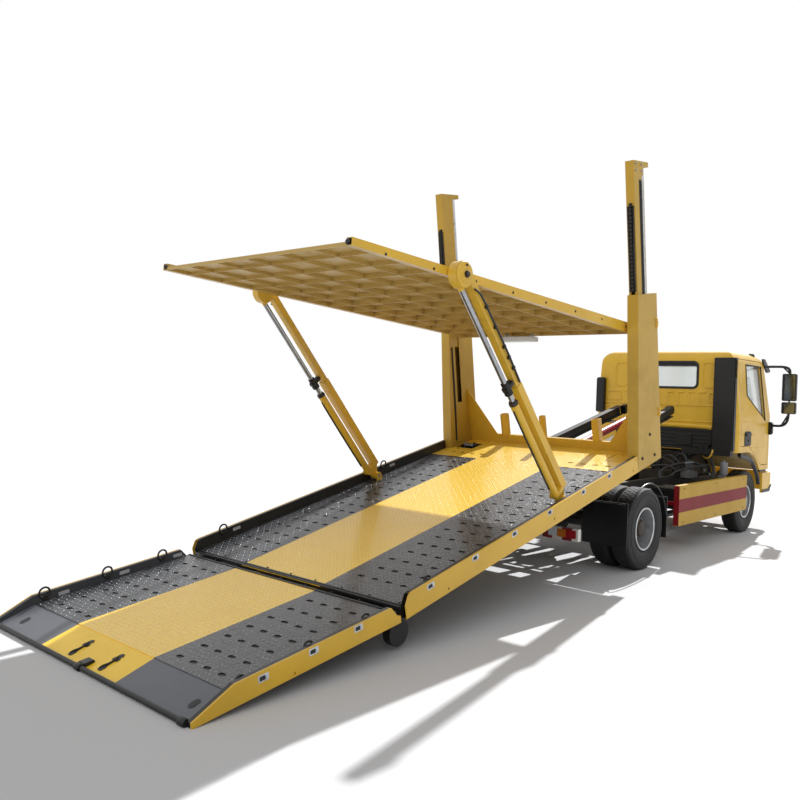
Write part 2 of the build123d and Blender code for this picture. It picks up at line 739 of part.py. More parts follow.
def rear_window():
    pane = slab((cab_rear_x + cab_panel / 3, cab_rear_x + cab_panel / 3 + window_glass),
                (-rear_window_half + seal_gap, rear_window_half - seal_gap),
                (rear_window_z[0] + seal_gap, rear_window_z[1] - seal_gap))
    return fillet(pane.edges().filter_by(Axis.X), rear_window_round)


def cab_glass():
    return windscreen() + rear_window()


roof_split_z = door_top_z + door_gap * 2
rear_split_x = cab_rear_x + cab_panel
front_split_x = door_front_x + door_gap * 4
floor_split_z = cab_rear_bottom_z + cab_panel


def cab_panels(shell):
    """Cut the shell where the panels meet: name, then the x, y and z ranges that each keeps."""
    far = bumper_front_x
    wide = (-cab_half_width * 2, cab_half_width * 2)
    roof = shell & slab((0, far), wide, (roof_split_z, cab_roof_z * 2))
    rest = shell & slab((0, far), wide, (0, roof_split_z))
    rear = rest & slab((0, rear_split_x), wide, (0, roof_split_z))
    rest = rest & slab((rear_split_x, far), wide, (0, roof_split_z))
    front = rest & slab((front_split_x, far), wide, (0, screen_base_z + cab_panel))
    rest -= slab((front_split_x, far), wide, (0, screen_base_z + cab_panel))
    inner = (-cab_half_width + cab_panel, cab_half_width - cab_panel)
    floor = rest & slab((0, far), inner, (0, cab_waist_z))
    sides = rest - slab((0, far), inner, (0, cab_waist_z))
    return roof, rear, front, floor, sides


def cab_floor(floor):
    """Floor with the engine tunnel and the tube on which the cab tilts."""
    hole = slab((engine_rear_x - tunnel_gap, engine_front_x + tunnel_gap),
                (-tunnel_half_width, tunnel_half_width), (0, cab_waist_z))
    cover = slab((engine_rear_x - tunnel_gap - cab_panel / 2, engine_front_x + tunnel_gap + cab_panel / 2),
                 (-tunnel_half_width - cab_panel / 2, tunnel_half_width + cab_panel / 2),
                 (nose_bottom_z, tunnel_top_z + cab_panel / 2))
    cover &= cab_solid(cab_panel / 2)
    cover -= slab((engine_rear_x - tunnel_gap, engine_front_x + tunnel_gap),
                  (-tunnel_half_width, tunnel_half_width), (0, tunnel_top_z))
    return floor - hole + cover


tunnel_gap = 60.0


def cab_tilt_tube():
    """Tube under the nose on which the cab tilts, with the ears that hang it from the floor."""
    outer = cab_bracket_y + cab_bracket_plate * 3
    tube = rod_y(cab_pivot_x, cab_pivot_z, cab_pivot_radius, (-outer, outer))
    ear = slab((cab_pivot_x - cab_pivot_radius, cab_pivot_x + cab_pivot_radius),
               (outer - cab_bracket_plate, outer), (cab_pivot_z, nose_bottom_z))
    return tube + both_sides(ear)


def door(band, side):
    """Door cut out of the side wall, with its window opening."""
    piece = band & side_cut(door_outline(0), side)
    piece -= side_cut(window_outline(0), side)
    return piece


def door_glass(side):
    """Pane in the middle of the door's thickness."""
    mid_out = cab_solid(cab_panel / 2 - window_glass / 2)
    mid_in = cab_solid(cab_panel / 2 + window_glass / 2)
    return (mid_out - mid_in) & side_cut(window_outline(-seal_gap), side)


seat_x = (2900.0, 3400.0)
seat_z = (frame_top + 490.0, frame_top + 630.0)
seat_back_z = (frame_top + 630.0, frame_top + 1210.0)
seat_back_depth = 120.0
seat_y_table = ((-880.0, -380.0), (-320.0, 200.0), (330.0, 880.0))
seat_round = 30.0


def seats():
    """Three seats, each a cushion and a back: columns are the low and high y of a seat."""
    row = None
    for y in seat_y_table:
        cushion = slab(seat_x, y, seat_z)
        base = slab((seat_x[0] + seat_round, seat_x[1] - seat_round), (y[0] + seat_round, y[1] - seat_round),
                    (max(floor_split_z, tunnel_top_z + cab_panel / 2) + seat_gap, seat_z[0] + weld_lap))
        back = slab((seat_x[0], seat_x[0] + seat_back_depth), y, (seat_z[1] - weld_lap, seat_back_z[1]))
        seat = cushion + base + back
        row = seat if row is None else row + seat
    return row


dash_x = (3860.0, 4100.0)
dash_z = (frame_top + 460.0, frame_top + 710.0)


def dashboard():
    dash = slab(dash_x, (-cab_half_width + cab_panel + moving_gap * 2, cab_half_width - cab_panel - moving_gap * 2),
                dash_z)
    dash &= cab_solid(cab_panel + seat_gap)
    return dash


wheel_centre = (3640.0, 560.0, frame_top + 810.0)
wheel_rake = 40.0
wheel_ring_radius = 210.0
wheel_rim_radius = 14.0
wheel_spoke = 12.0
column_radius = 30.0


column_length = ((dash_x[0] - seat_gap - wheel_centre[0] - column_radius * cos(radians(wheel_rake)))
                 / sin(radians(wheel_rake)))


def steering_wheel():
    """Ring, spokes and column, raked towards the driver on the left."""
    section = [(wheel_ring_radius + wheel_rim_radius * cos(radians(turn)), 0, wheel_rim_radius * sin(radians(turn)))
               for turn in range(0, 360, 45)]
    ring = revolve(make_face(Polyline(*section, close=True)), Axis.Z)
    for turn in (0, 120, 240):
        ring += Rot(0, 0, turn + 30) * slab((0, wheel_ring_radius), (-wheel_spoke, wheel_spoke),
                                            (-wheel_spoke / 2, wheel_spoke / 2))
    hub = Cylinder(column_radius * 1.6, column_radius)
    column = Pos(0, 0, -column_length / 2) * Cylinder(column_radius, column_length)
    return Pos(*wheel_centre) * Rot(0, -wheel_rake, 0) * (ring + hub + column)



mirror_y = (1130.0, 1310.0)
mirror_x = (4030.0, 4080.0)
mirror_z = (frame_top + 1050.0, frame_top + 1420.0)
mirror_low_z = (frame_top + 875.0, frame_top + 1035.0)
mirror_arm_radius = 11.0
mirror_foot_z = frame_top + 710.0
mirror_arm_reach = 90.0
mirror_base_half = 45.0


def mirrors():
    """Main mirror and wide-angle mirror on a bent tube at each front pillar."""
    head = slab(mirror_x, mirror_y, mirror_z)
    head = fillet(head.edges().filter_by(Axis.X), mirror_arm_radius * 2)
    low = slab(mirror_x, mirror_y, mirror_low_z)
    low = fillet(low.edges().filter_by(Axis.X), mirror_arm_radius * 2)
    post_y = (mirror_y[0] + mirror_y[1]) / 2
    x = (mirror_x[0] + mirror_x[1]) / 2
    post = rod_z(x, post_y, mirror_arm_radius, (mirror_low_z[0] - mirror_arm_radius, mirror_z[1] + mirror_arm_radius))
    low_arm = bent_rod([(x, cab_half_width - cab_front_round / 4, mirror_foot_z), (x, post_y - mirror_arm_reach, mirror_foot_z),
                        (x, post_y, mirror_low_z[0])])
    top_arm = bent_rod([(x - mirror_arm_reach, cab_roof_half_width - mirror_arm_radius, mirror_z[1] + mirror_arm_reach),
                        (x, post_y - mirror_arm_reach, mirror_z[1] + mirror_arm_reach), (x, post_y, mirror_z[1])])
    base = slab((x - mirror_base_half, x), (cab_half_width - cab_front_round / 2, cab_half_width + mirror_base_half / 2),
                (mirror_foot_z - mirror_base_half * 2, mirror_foot_z + mirror_base_half))
    pieces = both_sides(head + low + post + low_arm + top_arm + base)
    return pieces - cab_solid(-seat_gap)


def bent_rod(points):
    """Eight-sided bar through the points, lapped at each bend."""
    rod = None
    lap = mirror_arm_radius / 2
    for start, end in zip(points, points[1:]):
        run = Vector(*end) - Vector(*start)
        section = Plane(origin=start, z_dir=run) * Pos(0, 0, -lap) * RegularPolygon(mirror_arm_radius, 8)
        piece = extrude(section, amount=run.length + lap * 2, dir=run)
        rod = piece if rod is None else rod + piece
    return rod


visor_drop = 90.0
visor_depth = 120.0


def sun_visor():
    """Tinted visor over the top of the windscreen."""
    z = (screen_top_z - visor_drop, screen_top_z)
    root = screen_top_x + seat_gap
    points = [(root, z[1]), (screen_top_x + visor_depth, z[0]),
              (screen_top_x + visor_depth + window_glass, z[0]), (root + window_glass * 2, z[1])]
    return side_plate(points, (-screen_half_top, screen_half_top))


# Tilt frame


def beam(place):
    """One beam of the tilt frame: two flanges on a web, along the deck."""
    x = (-beam_rear_reach, beam_front_reach)
    z = (-beam_top_gap - beam_height, -beam_top_gap)
    y = (beam_y - beam_flange / 2, beam_y + beam_flange / 2)
    piece = slab(x, y, z)
    for pocket in ((y[0] - cut_over, beam_y - beam_plate / 2), (beam_y + beam_plate / 2, y[1] + cut_over)):
        piece -= slab((x[0] - cut_over, x[1] + cut_over), pocket, (z[0] + beam_plate, z[1] - beam_plate))
    return both_sides(piece)


tilt_pivot_s = ((tilt_pivot_x - deck_front_x) * cos(radians(deck_angle))
                + (tilt_pivot_z - deck_front_z) * sin(radians(deck_angle)))
tilt_pivot_n = (-(tilt_pivot_x - deck_front_x) * sin(radians(deck_angle))
                + (tilt_pivot_z - deck_front_z) * cos(radians(deck_angle)))
frame_tie_s = (-1060.0, -420.0, 1780.0)
tie_half = 40.0
tilt_rod_s = 300.0
tilt_rod_n = -180.0
slide_cylinder_radius = 45.0
slide_bore_radius = 36.0
slide_rod_radius = 25.0
slide_cylinder_n = -70.0
slide_cylinder_s = (-900.0, 1720.0)


def tilt_frame():
    """Two beams joined by cross ties, hinged at the rear and lifted by two cylinders."""
    frame = beam(deck_place)
    inner = beam_y - beam_plate / 2
    for s in frame_tie_s:
        frame += slab((s - tie_half, s + tie_half), (-inner, inner),
                      (-beam_top_gap - beam_height, -beam_top_gap - beam_height + beam_plate))
    ear_y = (tilt_ear_y, tilt_ear_y + tilt_ear_width)
    ear = slab((tilt_pivot_s - tilt_pin_radius * 2, tilt_pivot_s + tilt_pin_radius * 2), ear_y,
               (tilt_pivot_n, -beam_top_gap - beam_height + weld_lap))
    ear += rod_y(tilt_pivot_s, tilt_pivot_n, tilt_pin_radius * 2 - moving_gap, ear_y)
    pin = rod_y(tilt_pivot_s, tilt_pivot_n, tilt_pin_radius, (-frame_rail_y, frame_rail_y))
    frame += both_sides(ear) + pin
    ear_side = tilt_cylinder_y - tilt_rod_radius - moving_gap
    rod_ear_y = (ear_side - tilt_ear_width, ear_side)
    rod_ear = slab((tilt_rod_s - tie_half, tilt_rod_s + tie_half), rod_ear_y,
                   (tilt_rod_n - tilt_cylinder_pin_radius, -beam_top_gap - beam_height + beam_plate))
    rod_tie = slab((tilt_rod_s - tie_half, tilt_rod_s + tie_half), (-inner, inner),
                   (-beam_top_gap - beam_height, -beam_top_gap - beam_height + beam_plate))
    frame += rod_tie + both_sides(rod_ear)
    return deck_place * frame


def slide_cylinder():
    """Long barrel between the beams that pushes the deck along them."""
    barrel = rod_x(0, slide_cylinder_n, slide_cylinder_radius, slide_cylinder_s)
    barrel -= rod_x(0, slide_cylinder_n, slide_bore_radius,
                    (slide_cylinder_s[0] - cut_over, slide_cylinder_s[1] - slide_cylinder_radius))
    saddle_top = -beam_top_gap - beam_height + beam_plate
    for s in frame_tie_s[1:]:
        foot = slab((s - tie_half / 2, s + tie_half / 2), (-tie_half, tie_half),
                    (saddle_top, slide_cylinder_n - slide_bore_radius))
        barrel += foot - rod_x(0, slide_cylinder_n, slide_bore_radius, (s - tie_half, s + tie_half))
    return deck_place * barrel


tilt_rod_place = (deck_place * Location((tilt_rod_s, 0, tilt_rod_n))).position
tilt_cylinder_length = sqrt((tilt_rod_place.X - tilt_cylinder_base_x) ** 2
                            + (tilt_rod_place.Z - tilt_cylinder_base_z) ** 2)
tilt_cylinder_lean = -degrees(atan((tilt_cylinder_base_x - tilt_rod_place.X)
                                   / (tilt_rod_place.Z - tilt_cylinder_base_z)))
tilt_cylinder_place = Location((tilt_cylinder_base_x, 0, tilt_cylinder_base_z), (0, tilt_cylinder_lean, 0))
tilt_barrel_share = 0.6
tilt_rod_radius = 28.0
tilt_eye_radius = 34.0


def tilt_cylinders():
    """Pair of barrels, each with an eye on the cross bar of the frame."""
    y = (tilt_cylinder_y - tilt_cylinder_radius / 2, tilt_cylinder_y + tilt_cylinder_radius / 2)
    eye = rod_y(0, 0, tilt_eye_radius, y)
    barrel = rod_z(0, tilt_cylinder_y, tilt_cylinder_radius, (tilt_eye_radius / 2, tilt_cylinder_length * tilt_barrel_share))
    barrel += eye
    barrel -= rod_z(0, tilt_cylinder_y, tilt_rod_radius + seat_gap, (tilt_eye_radius * 1.5, tilt_cylinder_length))
    barrel -= rod_y(0, 0, tilt_cylinder_pin_radius + running_gap, (0, tilt_cylinder_y * 2))
    return tilt_cylinder_place * both_sides(barrel)


def tilt_rods():
    y = (tilt_cylinder_y - tilt_cylinder_radius / 2, tilt_cylinder_y + tilt_cylinder_radius / 2)
    rod = rod_z(0, tilt_cylinder_y, tilt_rod_radius, (tilt_cylinder_length * (tilt_barrel_share - 0.2),
                                                      tilt_cylinder_length))
    rod += rod_y(0, tilt_cylinder_length, tilt_eye_radius, y)
    ear_side = tilt_cylinder_y - tilt_rod_radius - moving_gap
    rod += rod_y(0, tilt_cylinder_length, tilt_cylinder_pin_radius, (ear_side + seat_gap, y[1] + moving_gap))
    return tilt_cylinder_place * both_sides(rod)


# Lower deck

runner_hook_plate = 10.0
runner_s = (-deck_length + 303.0, -40.0)
cross_first_share = 0.7
# The lug of the slide rod hangs under the last cross member but one, a little behind its web.
slide_lug_member = int(deck_length / cross_member_pitch) - 2
slide_lug_set_back = 7.0
slide_lug_s = -cross_member_pitch * (slide_lug_member + cross_first_share) - slide_lug_set_back


def column_footprint():
    """Space on both sides of the deck that the columns stand in."""
    return both_sides(slab((-column_foot_s - seat_gap, cut_over), (deck_half_width - column_width - seat_gap,
                                                                   deck_half_width * 2), (-beam_height, rail_height * 2)))


def deck_rail(length, height):
    """Box rail along the deck's left edge, its rear end cut down for the hinge and slots in its outer wall."""
    rail = tube_x((-length, 0), (deck_half_width - rail_width, deck_half_width), (0, height), rail_plate)
    y = (deck_half_width - rail_width - cut_over, deck_half_width + cut_over)
    rail -= side_plate([(-length - cut_over, height - notch_drop), (-length, height - notch_drop),
                        (-length + notch_run / 2, height - notch_drop / 8), (-length + notch_run, height),
                        (-length + notch_run, height + cut_over), (-length - cut_over, height + cut_over)], y)
    return rail - wall_cuts(rail_slot_table, slot_size) - wall_cuts(rail_hole_table, hole_size)


notch_run = 77.0
notch_drop = 64.0
slot_size = (35.0, 28.0)
hole_size = (15.0, 15.0)
# Columns: place along the rail and height of each cut in its outer wall
rail_slot_table = ((-3615.0, 119.0), (-3114.0, 126.0), (-2614.0, 128.0), (-2104.0, 128.0), (-1558.0, 128.0),
                   (-1082.0, 128.0))
rail_hole_table = ((-3435.0, 27.0), (-2045.0, 53.0), (-617.0, 42.0), (-551.0, 128.0))
ramp_slot_table = ((-1115.0, 82.0), (-757.0, 92.0), (-400.0, 98.0))
ramp_hole_table = ((-903.0, 20.0),)


def wall_cuts(table, size):
    """Cuts through a rail's outer wall at each place of the table."""
    cuts = None
    for s, n in table:
        cut = slab((s - size[0] / 2, s + size[0] / 2), (deck_half_width - rail_plate * 2, deck_half_width + cut_over),
                   (n - size[1] / 2, n + size[1] / 2))
        cuts = cut if cuts is None else cuts + cut
    return cuts


def lower_deck_frame():
    """Side rails, cross members and the runners that ride on the tilt frame."""
    frame = both_sides(deck_rail(deck_length - hinge_clear, rail_height))
    inner = deck_half_width - rail_width
    top = deck_plate_top - deck_plate_thickness
    count = int(deck_length / cross_member_pitch)
    for index in range(count):
        s = -cross_member_pitch * (index + cross_first_share)
        frame += slab((s - tie_half, s - tie_half + rail_plate), (-inner, inner), (0, top))
        frame += slab((s - tie_half, s + tie_half), (-inner, inner), (0, rail_plate))
    low = -beam_top_gap + seat_gap
    runner = slab(runner_s, (beam_y - beam_flange / 2, beam_y + beam_flange / 2), (low, rail_plate))
    hook_y = beam_y + beam_flange / 2 + moving_gap
    hook_low = -beam_top_gap - beam_plate - moving_gap - runner_hook_plate
    hook = slab(runner_s, (hook_y, hook_y + runner_hook_plate), (hook_low, rail_plate))
    hook += slab(runner_s, (beam_y + beam_plate + moving_gap * 2, hook_y + runner_hook_plate),
                 (hook_low, hook_low + runner_hook_plate))
    hook += slab(runner_s, (beam_y, hook_y + runner_hook_plate), (low, rail_plate))
    lug = slab((slide_lug_s - tie_half / 2, slide_lug_s + tie_half / 2), (-tie_half, tie_half),
               (slide_cylinder_n - tie_half, rail_plate))
    frame += both_sides(runner + hook) + lug
    tail = slab((-deck_length + hinge_clear, -deck_length + hinge_clear + tie_half), (-inner, inner), (0, top))
    frame = deck_place * (frame + tail - column_footprint())
    for y in hinge_station_ys:
        frame += hinge_knuckle(y + hinge_knuckle_length + moving_gap, -1, deck_place * Location((-deck_length, 0, 0)))
    return frame


opening_s = (-455.0, -240.0)
opening_y = (800.0, 1045.0)


# Places of the holes across a lane, counted from the middle of the deck
near_hole_ys = (-912.0, -777.0, -648.0, -515.0)
far_hole_ys = (556.0, 683.0, 807.0, 935.0)
hole_pitch = 166.0
hole_half_length = 28.0
hole_half_width = 15.0
hole_corner = 9.0
hole_stagger = 40.0
deck_hole_first = -620.0
deck_hole_last = -deck_length + 153.0
ramp_hole_first = -200.0
ramp_hole_last = -1200.0


def oblong(s, y):
    """Outline of one oblong hole, long across the deck, with cut corners."""
    w, l, c = hole_half_width, hole_half_length, hole_corner
    points = [(w - c, l), (w, l - c), (w, c - l), (w - c, -l), (c - w, -l), (-w, c - l), (-w, l - c), (c - w, l)]
    return Wire.make_polygon([(s + a, y + b, 0) for a, b in points], close=True)


def floor_plate(rear, front, first, last, stagger):
    """Floor plate with rows of oblong holes in both wheel lanes; every second row is set outward by stagger."""
    half = deck_half_width - rail_width
    edge = Wire.make_polygon([(rear, -half, 0), (front, -half, 0), (front, half, 0), (rear, half, 0)], close=True)
    holes = []
    for row in range(int((first - last) / hole_pitch) + 1):
        shift = stagger * (row % 2)
        s = first - row * hole_pitch
        holes += [oblong(s, y - shift) for y in near_hole_ys] + [oblong(s, y + shift) for y in far_hole_ys]
    plate = extrude(Face(edge, holes), amount=deck_plate_thickness, dir=(0, 0, 1))
    return Pos(0, 0, deck_plate_top - deck_plate_thickness) * plate


def lower_deck_plate():
    """Chequered floor plate between the rails, with the opening for the winch cable."""
    plate = floor_plate(-deck_length + hinge_clear, -front_wall_setback, deck_hole_first, deck_hole_last, hole_stagger)
    plate -= slab(opening_s, opening_y, (0, deck_plate_top * 2))
    return deck_place * (plate - column_footprint())


wall_plate = 6.0
wall_width = 40.0
post_height = 230.0
post_wall = 6.0
# Columns: y of the post, half its width, and 1 where it is round
post_table = ((580.0, 50.0, 1), (97.0, 38.0, 1), (-540.0, 38.0, 0))
gusset_width = 370.0
gusset_height = 520.0


def post(s, y, half, is_round):
    """One open-topped stake post, round or square."""
    low, high, inner = rail_height - weld_lap, rail_height + post_height, half - post_wall
    if is_round:
        return rod_z(s, y, half, (low, high)) - rod_z(s, y, inner, (rail_height + post_wall, high + cut_over))
    outside = slab((s - half, s + half), (y - half, y + half), (low, high))
    return outside - slab((s - inner, s + inner), (y - inner, y + inner), (rail_height + post_wall, high + cut_over))


def front_wall():
    """Cross rail at the deck's front with three posts on it and a gusset to each column."""
    s = (-front_wall_setback, -front_wall_setback + wall_width)
    inner = deck_half_width - column_width
    wall = slab(s, (-inner, inner), (rail_plate, rail_height))
    wall -= slab((s[0] + wall_plate, s[1] - wall_plate), (-inner - cut_over, inner + cut_over),
                 (rail_plate + wall_plate, rail_height - wall_plate))
    mid = (s[0] + s[1]) / 2
    for y, half, is_round in post_table:
        wall += post(mid, y, half, is_round)
    points = [(inner, rail_height), (inner - gusset_width, rail_height), (inner, rail_height + gusset_height)]
    face = make_face(Polyline(*[(0, y, z) for y, z in points], close=True))
    gusset = Pos(s[0], 0, 0) * extrude(face, amount=wall_plate, dir=(1, 0, 0))
    return deck_place * (wall + both_sides(gusset))


column_taper = (column_base_depth - column_top_depth) / column_height
column_foot_s = column_base_depth / (1 - tan(radians(column_lean)) * column_taper) / cos(radians(column_lean))
slot_half = 40.0
slot_low = 520.0
lift_rod_x = mast_front_x + 50.0
lift_barrel_radius = 38.0
lift_bore_radius = 30.0
lift_rod_radius = 24.0
cap_reach = 302.0
cap_height = 45.0


def column(side):
    """Box column, deeper at its foot, open on top, with a slot inside for the carriage pin."""
    outer_y = deck_half_width
    inner_y = deck_half_width - column_width
    p = column_plate
    low = -column_base_depth * sin(radians(column_lean)) - p
    foot_x = -column_base_depth + low * column_taper
    outline = [(0, low), (foot_x, low), (-column_top_depth, column_height), (0, column_height)]
    over = column_height + cut_over
    hollow = [(-p, low), (foot_x + p, low), (-column_top_depth + p , over), (-p, over)]
    box = side_plate(outline, (inner_y, outer_y)) - side_plate(hollow, (inner_y + p, outer_y - p))
    box -= slab((mast_middle_x - slot_half, mast_middle_x + slot_half), (inner_y - cut_over, inner_y + p * 2),
                (slot_low, over))
    box = Rot(0, column_lean, 0) * box
    deck_half = slab((-column_base_depth * 2, column_base_depth * 2), (0, outer_y * 2), (0, column_height * 2))
    sole = slab((-column_foot_s + p / 2, -p / 2), (inner_y + p / 2, outer_y - p / 2), (0, p))
    box = deck_place * ((box & deck_half) + sole)
    return box if side > 0 else mirror(box, Plane.XZ)


def lift_cylinders():
    """Barrels that stand in the front of the columns."""
    y = deck_half_width - column_width / 2
    top = column_height - moving_gap * 4
    barrel = rod_z(lift_rod_x, y, lift_barrel_radius, (-lift_barrel_radius, top))
    barrel -= rod_z(lift_rod_x, y, lift_bore_radius, (lift_barrel_radius, top - lift_barrel_radius))
    barrel -= rod_z(lift_rod_x, y, lift_rod_radius + seat_gap, (top - lift_barrel_radius * 2, top + cut_over))
    barrel = Rot(0, column_lean, 0) * barrel
    above_sole = slab((-column_base_depth * 2, column_base_depth * 2), (0, y * 2), (column_plate, column_height * 2))
    return deck_place * both_sides(barrel & above_sole)


def slide_rod():
    rod = rod_x(0, slide_cylinder_n, slide_rod_radius,
                (slide_lug_s + tie_half / 2, slide_cylinder_s[0] + slide_cylinder_radius * 3))
    return deck_place * rod


roller_radius = 90.0
roller_width = 60.0
roller_y = 1000.0
roller_s = -deck_length + hinge_clear + tie_half / 2
roller_n = -125.0


def hinge_rollers():
    """Pair of support rollers on one shaft under the rear end of the deck."""
    roller = rod_y(roller_s, roller_n, roller_radius, (roller_y, roller_y + roller_width))
    shaft = rod_y(roller_s, roller_n, roller_radius / 4, (-roller_y - roller_width, roller_y + roller_width))
    return deck_place * (both_sides(roller) + shaft)


def roller_hangers():
    ear = slab((roller_s - roller_radius / 3, roller_s + roller_radius / 3),
               (roller_y - moving_gap - rail_plate * 2, roller_y - moving_gap), (roller_n, 0))
    ear += rod_y(roller_s, roller_n, roller_radius / 3 + rail_plate,
                 (roller_y - moving_gap - rail_plate * 2, roller_y - moving_gap))
    ear -= rod_y(roller_s, roller_n, roller_radius / 4 + running_gap, (0, roller_y * 2))
    return deck_place * both_sides(ear)


strut_foot_radius = 36.0
strut_pin_radius = 16.0
strut_bracket_plate = 8.0


def strut_brackets():
    """Foot brackets for the struts on the deck beside the rails."""
    y = (strut_y - strut_bracket_half - strut_bracket_plate - moving_gap, strut_y - strut_bracket_half - moving_gap)
    plate = slab((strut_base_s - strut_foot_radius, strut_base_s + strut_foot_radius), y,
                 (deck_plate_top, strut_base_n))
    plate += rod_y(strut_base_s, strut_base_n, strut_foot_radius, y)
    pin = rod_y(strut_base_s, strut_base_n, strut_pin_radius, (y[0], strut_y + strut_bracket_half))
    return deck_place * both_sides(plate + pin)


strut_bracket_half = 38.0

# Tail ramp


def hinge_knuckle(y, way, place):
    """One barrel of the ramp's hinge with its lug; way is 1 on the ramp's side and -1 on the deck's."""
    half = hinge_knuckle_length / 2
    span = (y - half, y + half)
    root = (-hinge_clear - weld_lap, 0) if way > 0 else (0, hinge_clear + weld_lap)
    piece = rod_y(0, ramp_hinge_n, hinge_knuckle_radius, span)
    piece += slab(root, span, (ramp_hinge_n - hinge_knuckle_radius / 2, ramp_hinge_n + hinge_knuckle_radius / 2))
    if way < 0:
        piece -= rod_y(0, ramp_hinge_n, hinge_pin_radius + running_gap, (span[0] - cut_over, span[1] + cut_over))
    return place * piece


def ramp_rail():
    """Side rail of the ramp, tapering over its nose."""
    points = [(-ramp_length, 0), (-hinge_clear, 0), (-hinge_clear, ramp_notch_height),
              (-hinge_clear - ramp_notch_run / 3, ramp_notch_height + rail_plate),
              (-hinge_clear - ramp_notch_run, ramp_rail_height),
              (-ramp_length + ramp_nose_length, ramp_rail_height), (-ramp_length, ramp_nose_height)]
    rail = side_plate(points, (deck_half_width - rail_width, deck_half_width))
    return rail - wall_cuts(ramp_slot_table, slot_size) - wall_cuts(ramp_hole_table, hole_size)


ramp_notch_run = 81.0
ramp_notch_height = 45.0


hinge_knuckle_length = 90.0
hinge_knuckle_radius = 20.0
hinge_pin_radius = 11.0
hinge_station_ys = (-900.0, -300.0, 300.0, 900.0)


def tail_ramp_frame():
    """Ramp rails, cross members, tip bar and the hinge barrels."""
    frame = both_sides(ramp_rail())
    inner = deck_half_width - rail_width
    top = deck_plate_top - deck_plate_thickness
    for index in range(3):
        s = -cross_member_pitch * (index + 0.5)
        frame += slab((s - tie_half, s - tie_half + rail_plate), (-inner, inner), (0, top))
    frame += slab((-hinge_clear - tie_half, -hinge_clear), (-inner, inner), (0, top))
    tip = side_plate([(-ramp_length, 0), (-ramp_length + ramp_nose_length, 0),
                      (-ramp_length + ramp_nose_length, top), (-ramp_length, ramp_nose_height / 3)],
                     (-inner, inner))
    piece = ramp_place * (frame + tip)
    for y in hinge_station_ys:
        piece += hinge_knuckle(y, 1, ramp_place)
        piece += ramp_place * rod_y(0, ramp_hinge_n, hinge_pin_radius,
                                    (y - hinge_knuckle_length, y + hinge_knuckle_length * 1.5 + moving_gap))
    return piece


def tail_ramp_plate():
    return ramp_place * floor_plate(-ramp_length + ramp_nose_length, -hinge_clear, ramp_hole_first, ramp_hole_last, 0)


# Masts and upper deck


def mast(side):
    """Sliding inner mast: a box open at the rear and outer side, with its cap and carriage pin."""
    outer_y = deck_half_width - column_plate - moving_gap
    y = (outer_y - mast_width, outer_y)
    low = mast_pin_height - mast_foot_drop
    p = mast_plate
    box = slab((mast_rear_x, mast_front_x), y, (low, mast_height))
    box -= slab((mast_rear_x + p, mast_front_x - p), (y[0] + p, y[1] - p), (low - cut_over, mast_height - p))
    rear_cut = slab((mast_rear_x - cut_over, mast_rear_x + p * 2), (y[0] + mast_width * 0.25, y[0] + mast_width * 0.7),
                    (low + mast_foot_drop * 2, mast_height - rear_slot_drop))
    side_slot = slab((mast_rear_x + mast_depth * 0.5, mast_rear_x + mast_depth * 0.8), (y[1] - p * 2, y[1] + cut_over),
                     (low + mast_foot_drop * 2, mast_height - side_slot_drop))
    box = box - rear_cut - side_slot
    for x in ((mast_rear_x, mast_rear_x + pad_width), (mast_front_x - pad_width, mast_front_x)):
        box += slab(x, (y[0] - moving_gap + seat_gap, y[0] + p), (low, low + pad_height))
        box += slab(x, (y[1] - p, y[1] + moving_gap - seat_gap), (low, low + pad_height))
    cap = slab((mast_front_x - weld_lap, mast_rear_x + cap_reach), y, (mast_height - cap_height, mast_height))
    pin = rod_y(mast_middle_x, mast_pin_height, mast_pin_radius, (upper_half_width - upper_rail_width, y[0] + p))
    box = column_place * (box + cap + pin)
    return box if side > 0 else mirror(box, Plane.XZ)


mast_pin_radius = 25.0
pad_width = 40.0
pad_height = 110.0
rear_slot_drop = 380.0
side_slot_drop = 170.0


def lift_rods():
    """Chrome rods of the lift cylinders, up to the masts' caps."""
    y = deck_half_width - column_width / 2
    rod = rod_z(lift_rod_x, y, lift_rod_radius, (column_height - slot_low / 2, mast_height - cap_height))
    return column_place * both_sides(rod)


upper_rib_pitch = 300.0
upper_rib_plate = 5.0
upper_rib_height = 70.0
upper_rib_ys = (-680.0, -340.0, 0.0, 340.0, 680.0)


def upper_deck_frame():
    """Side rails with a grid of ribs under the plate, and a bored boss for each mast pin."""
    top = upper_rail_top
    low = top - upper_rail_height
    y = (upper_half_width - upper_rail_width, upper_half_width)
    rail = upper_outline(0, 0, y) - upper_outline(rail_plate, cut_over, (y[0] + rail_plate, y[1] - rail_plate))
    boss = slab((-mast_pin_radius * 2, upper_front_reach), y, (low, top))
    boss -= rod_y(0, 0, mast_pin_radius + running_gap, (0, upper_half_width * 2))
    end = slab((-mast_pin_radius * 2, upper_front_reach + cut_over), (0, deck_half_width), (low * 2, top * 2))
    frame = both_sides(rail - end + boss)
    under = top - upper_plate_drop - upper_plate_thickness
    inner = y[0]
    count = int((upper_rear_reach + upper_front_reach) / upper_rib_pitch)
    for index in range(count + 1):
        x = upper_front_reach - upper_rib_plate - index * upper_rib_pitch
        frame += slab((x - upper_rib_plate, x), (-inner, inner), (under - upper_rib_height, under))
    for rib_y in upper_rib_ys:
        frame += slab((-upper_rear_reach, upper_front_reach - upper_rib_plate), (rib_y - upper_rib_plate / 2, rib_y + upper_rib_plate / 2),
                      (under - upper_rib_height, under))
    rear = slab((-upper_rear_reach, -upper_rear_reach + upper_rib_plate), (-inner, inner),
                (under - upper_rib_height, under))
    below = slab((-upper_rear_reach - cut_over, upper_front_reach + cut_over), (-inner, inner),
                 (-upper_rib_height * 2, under - rail_plate)) - upper_outline(0, cut_over, (-inner, inner))
    return upper_place * (frame + rear - below)


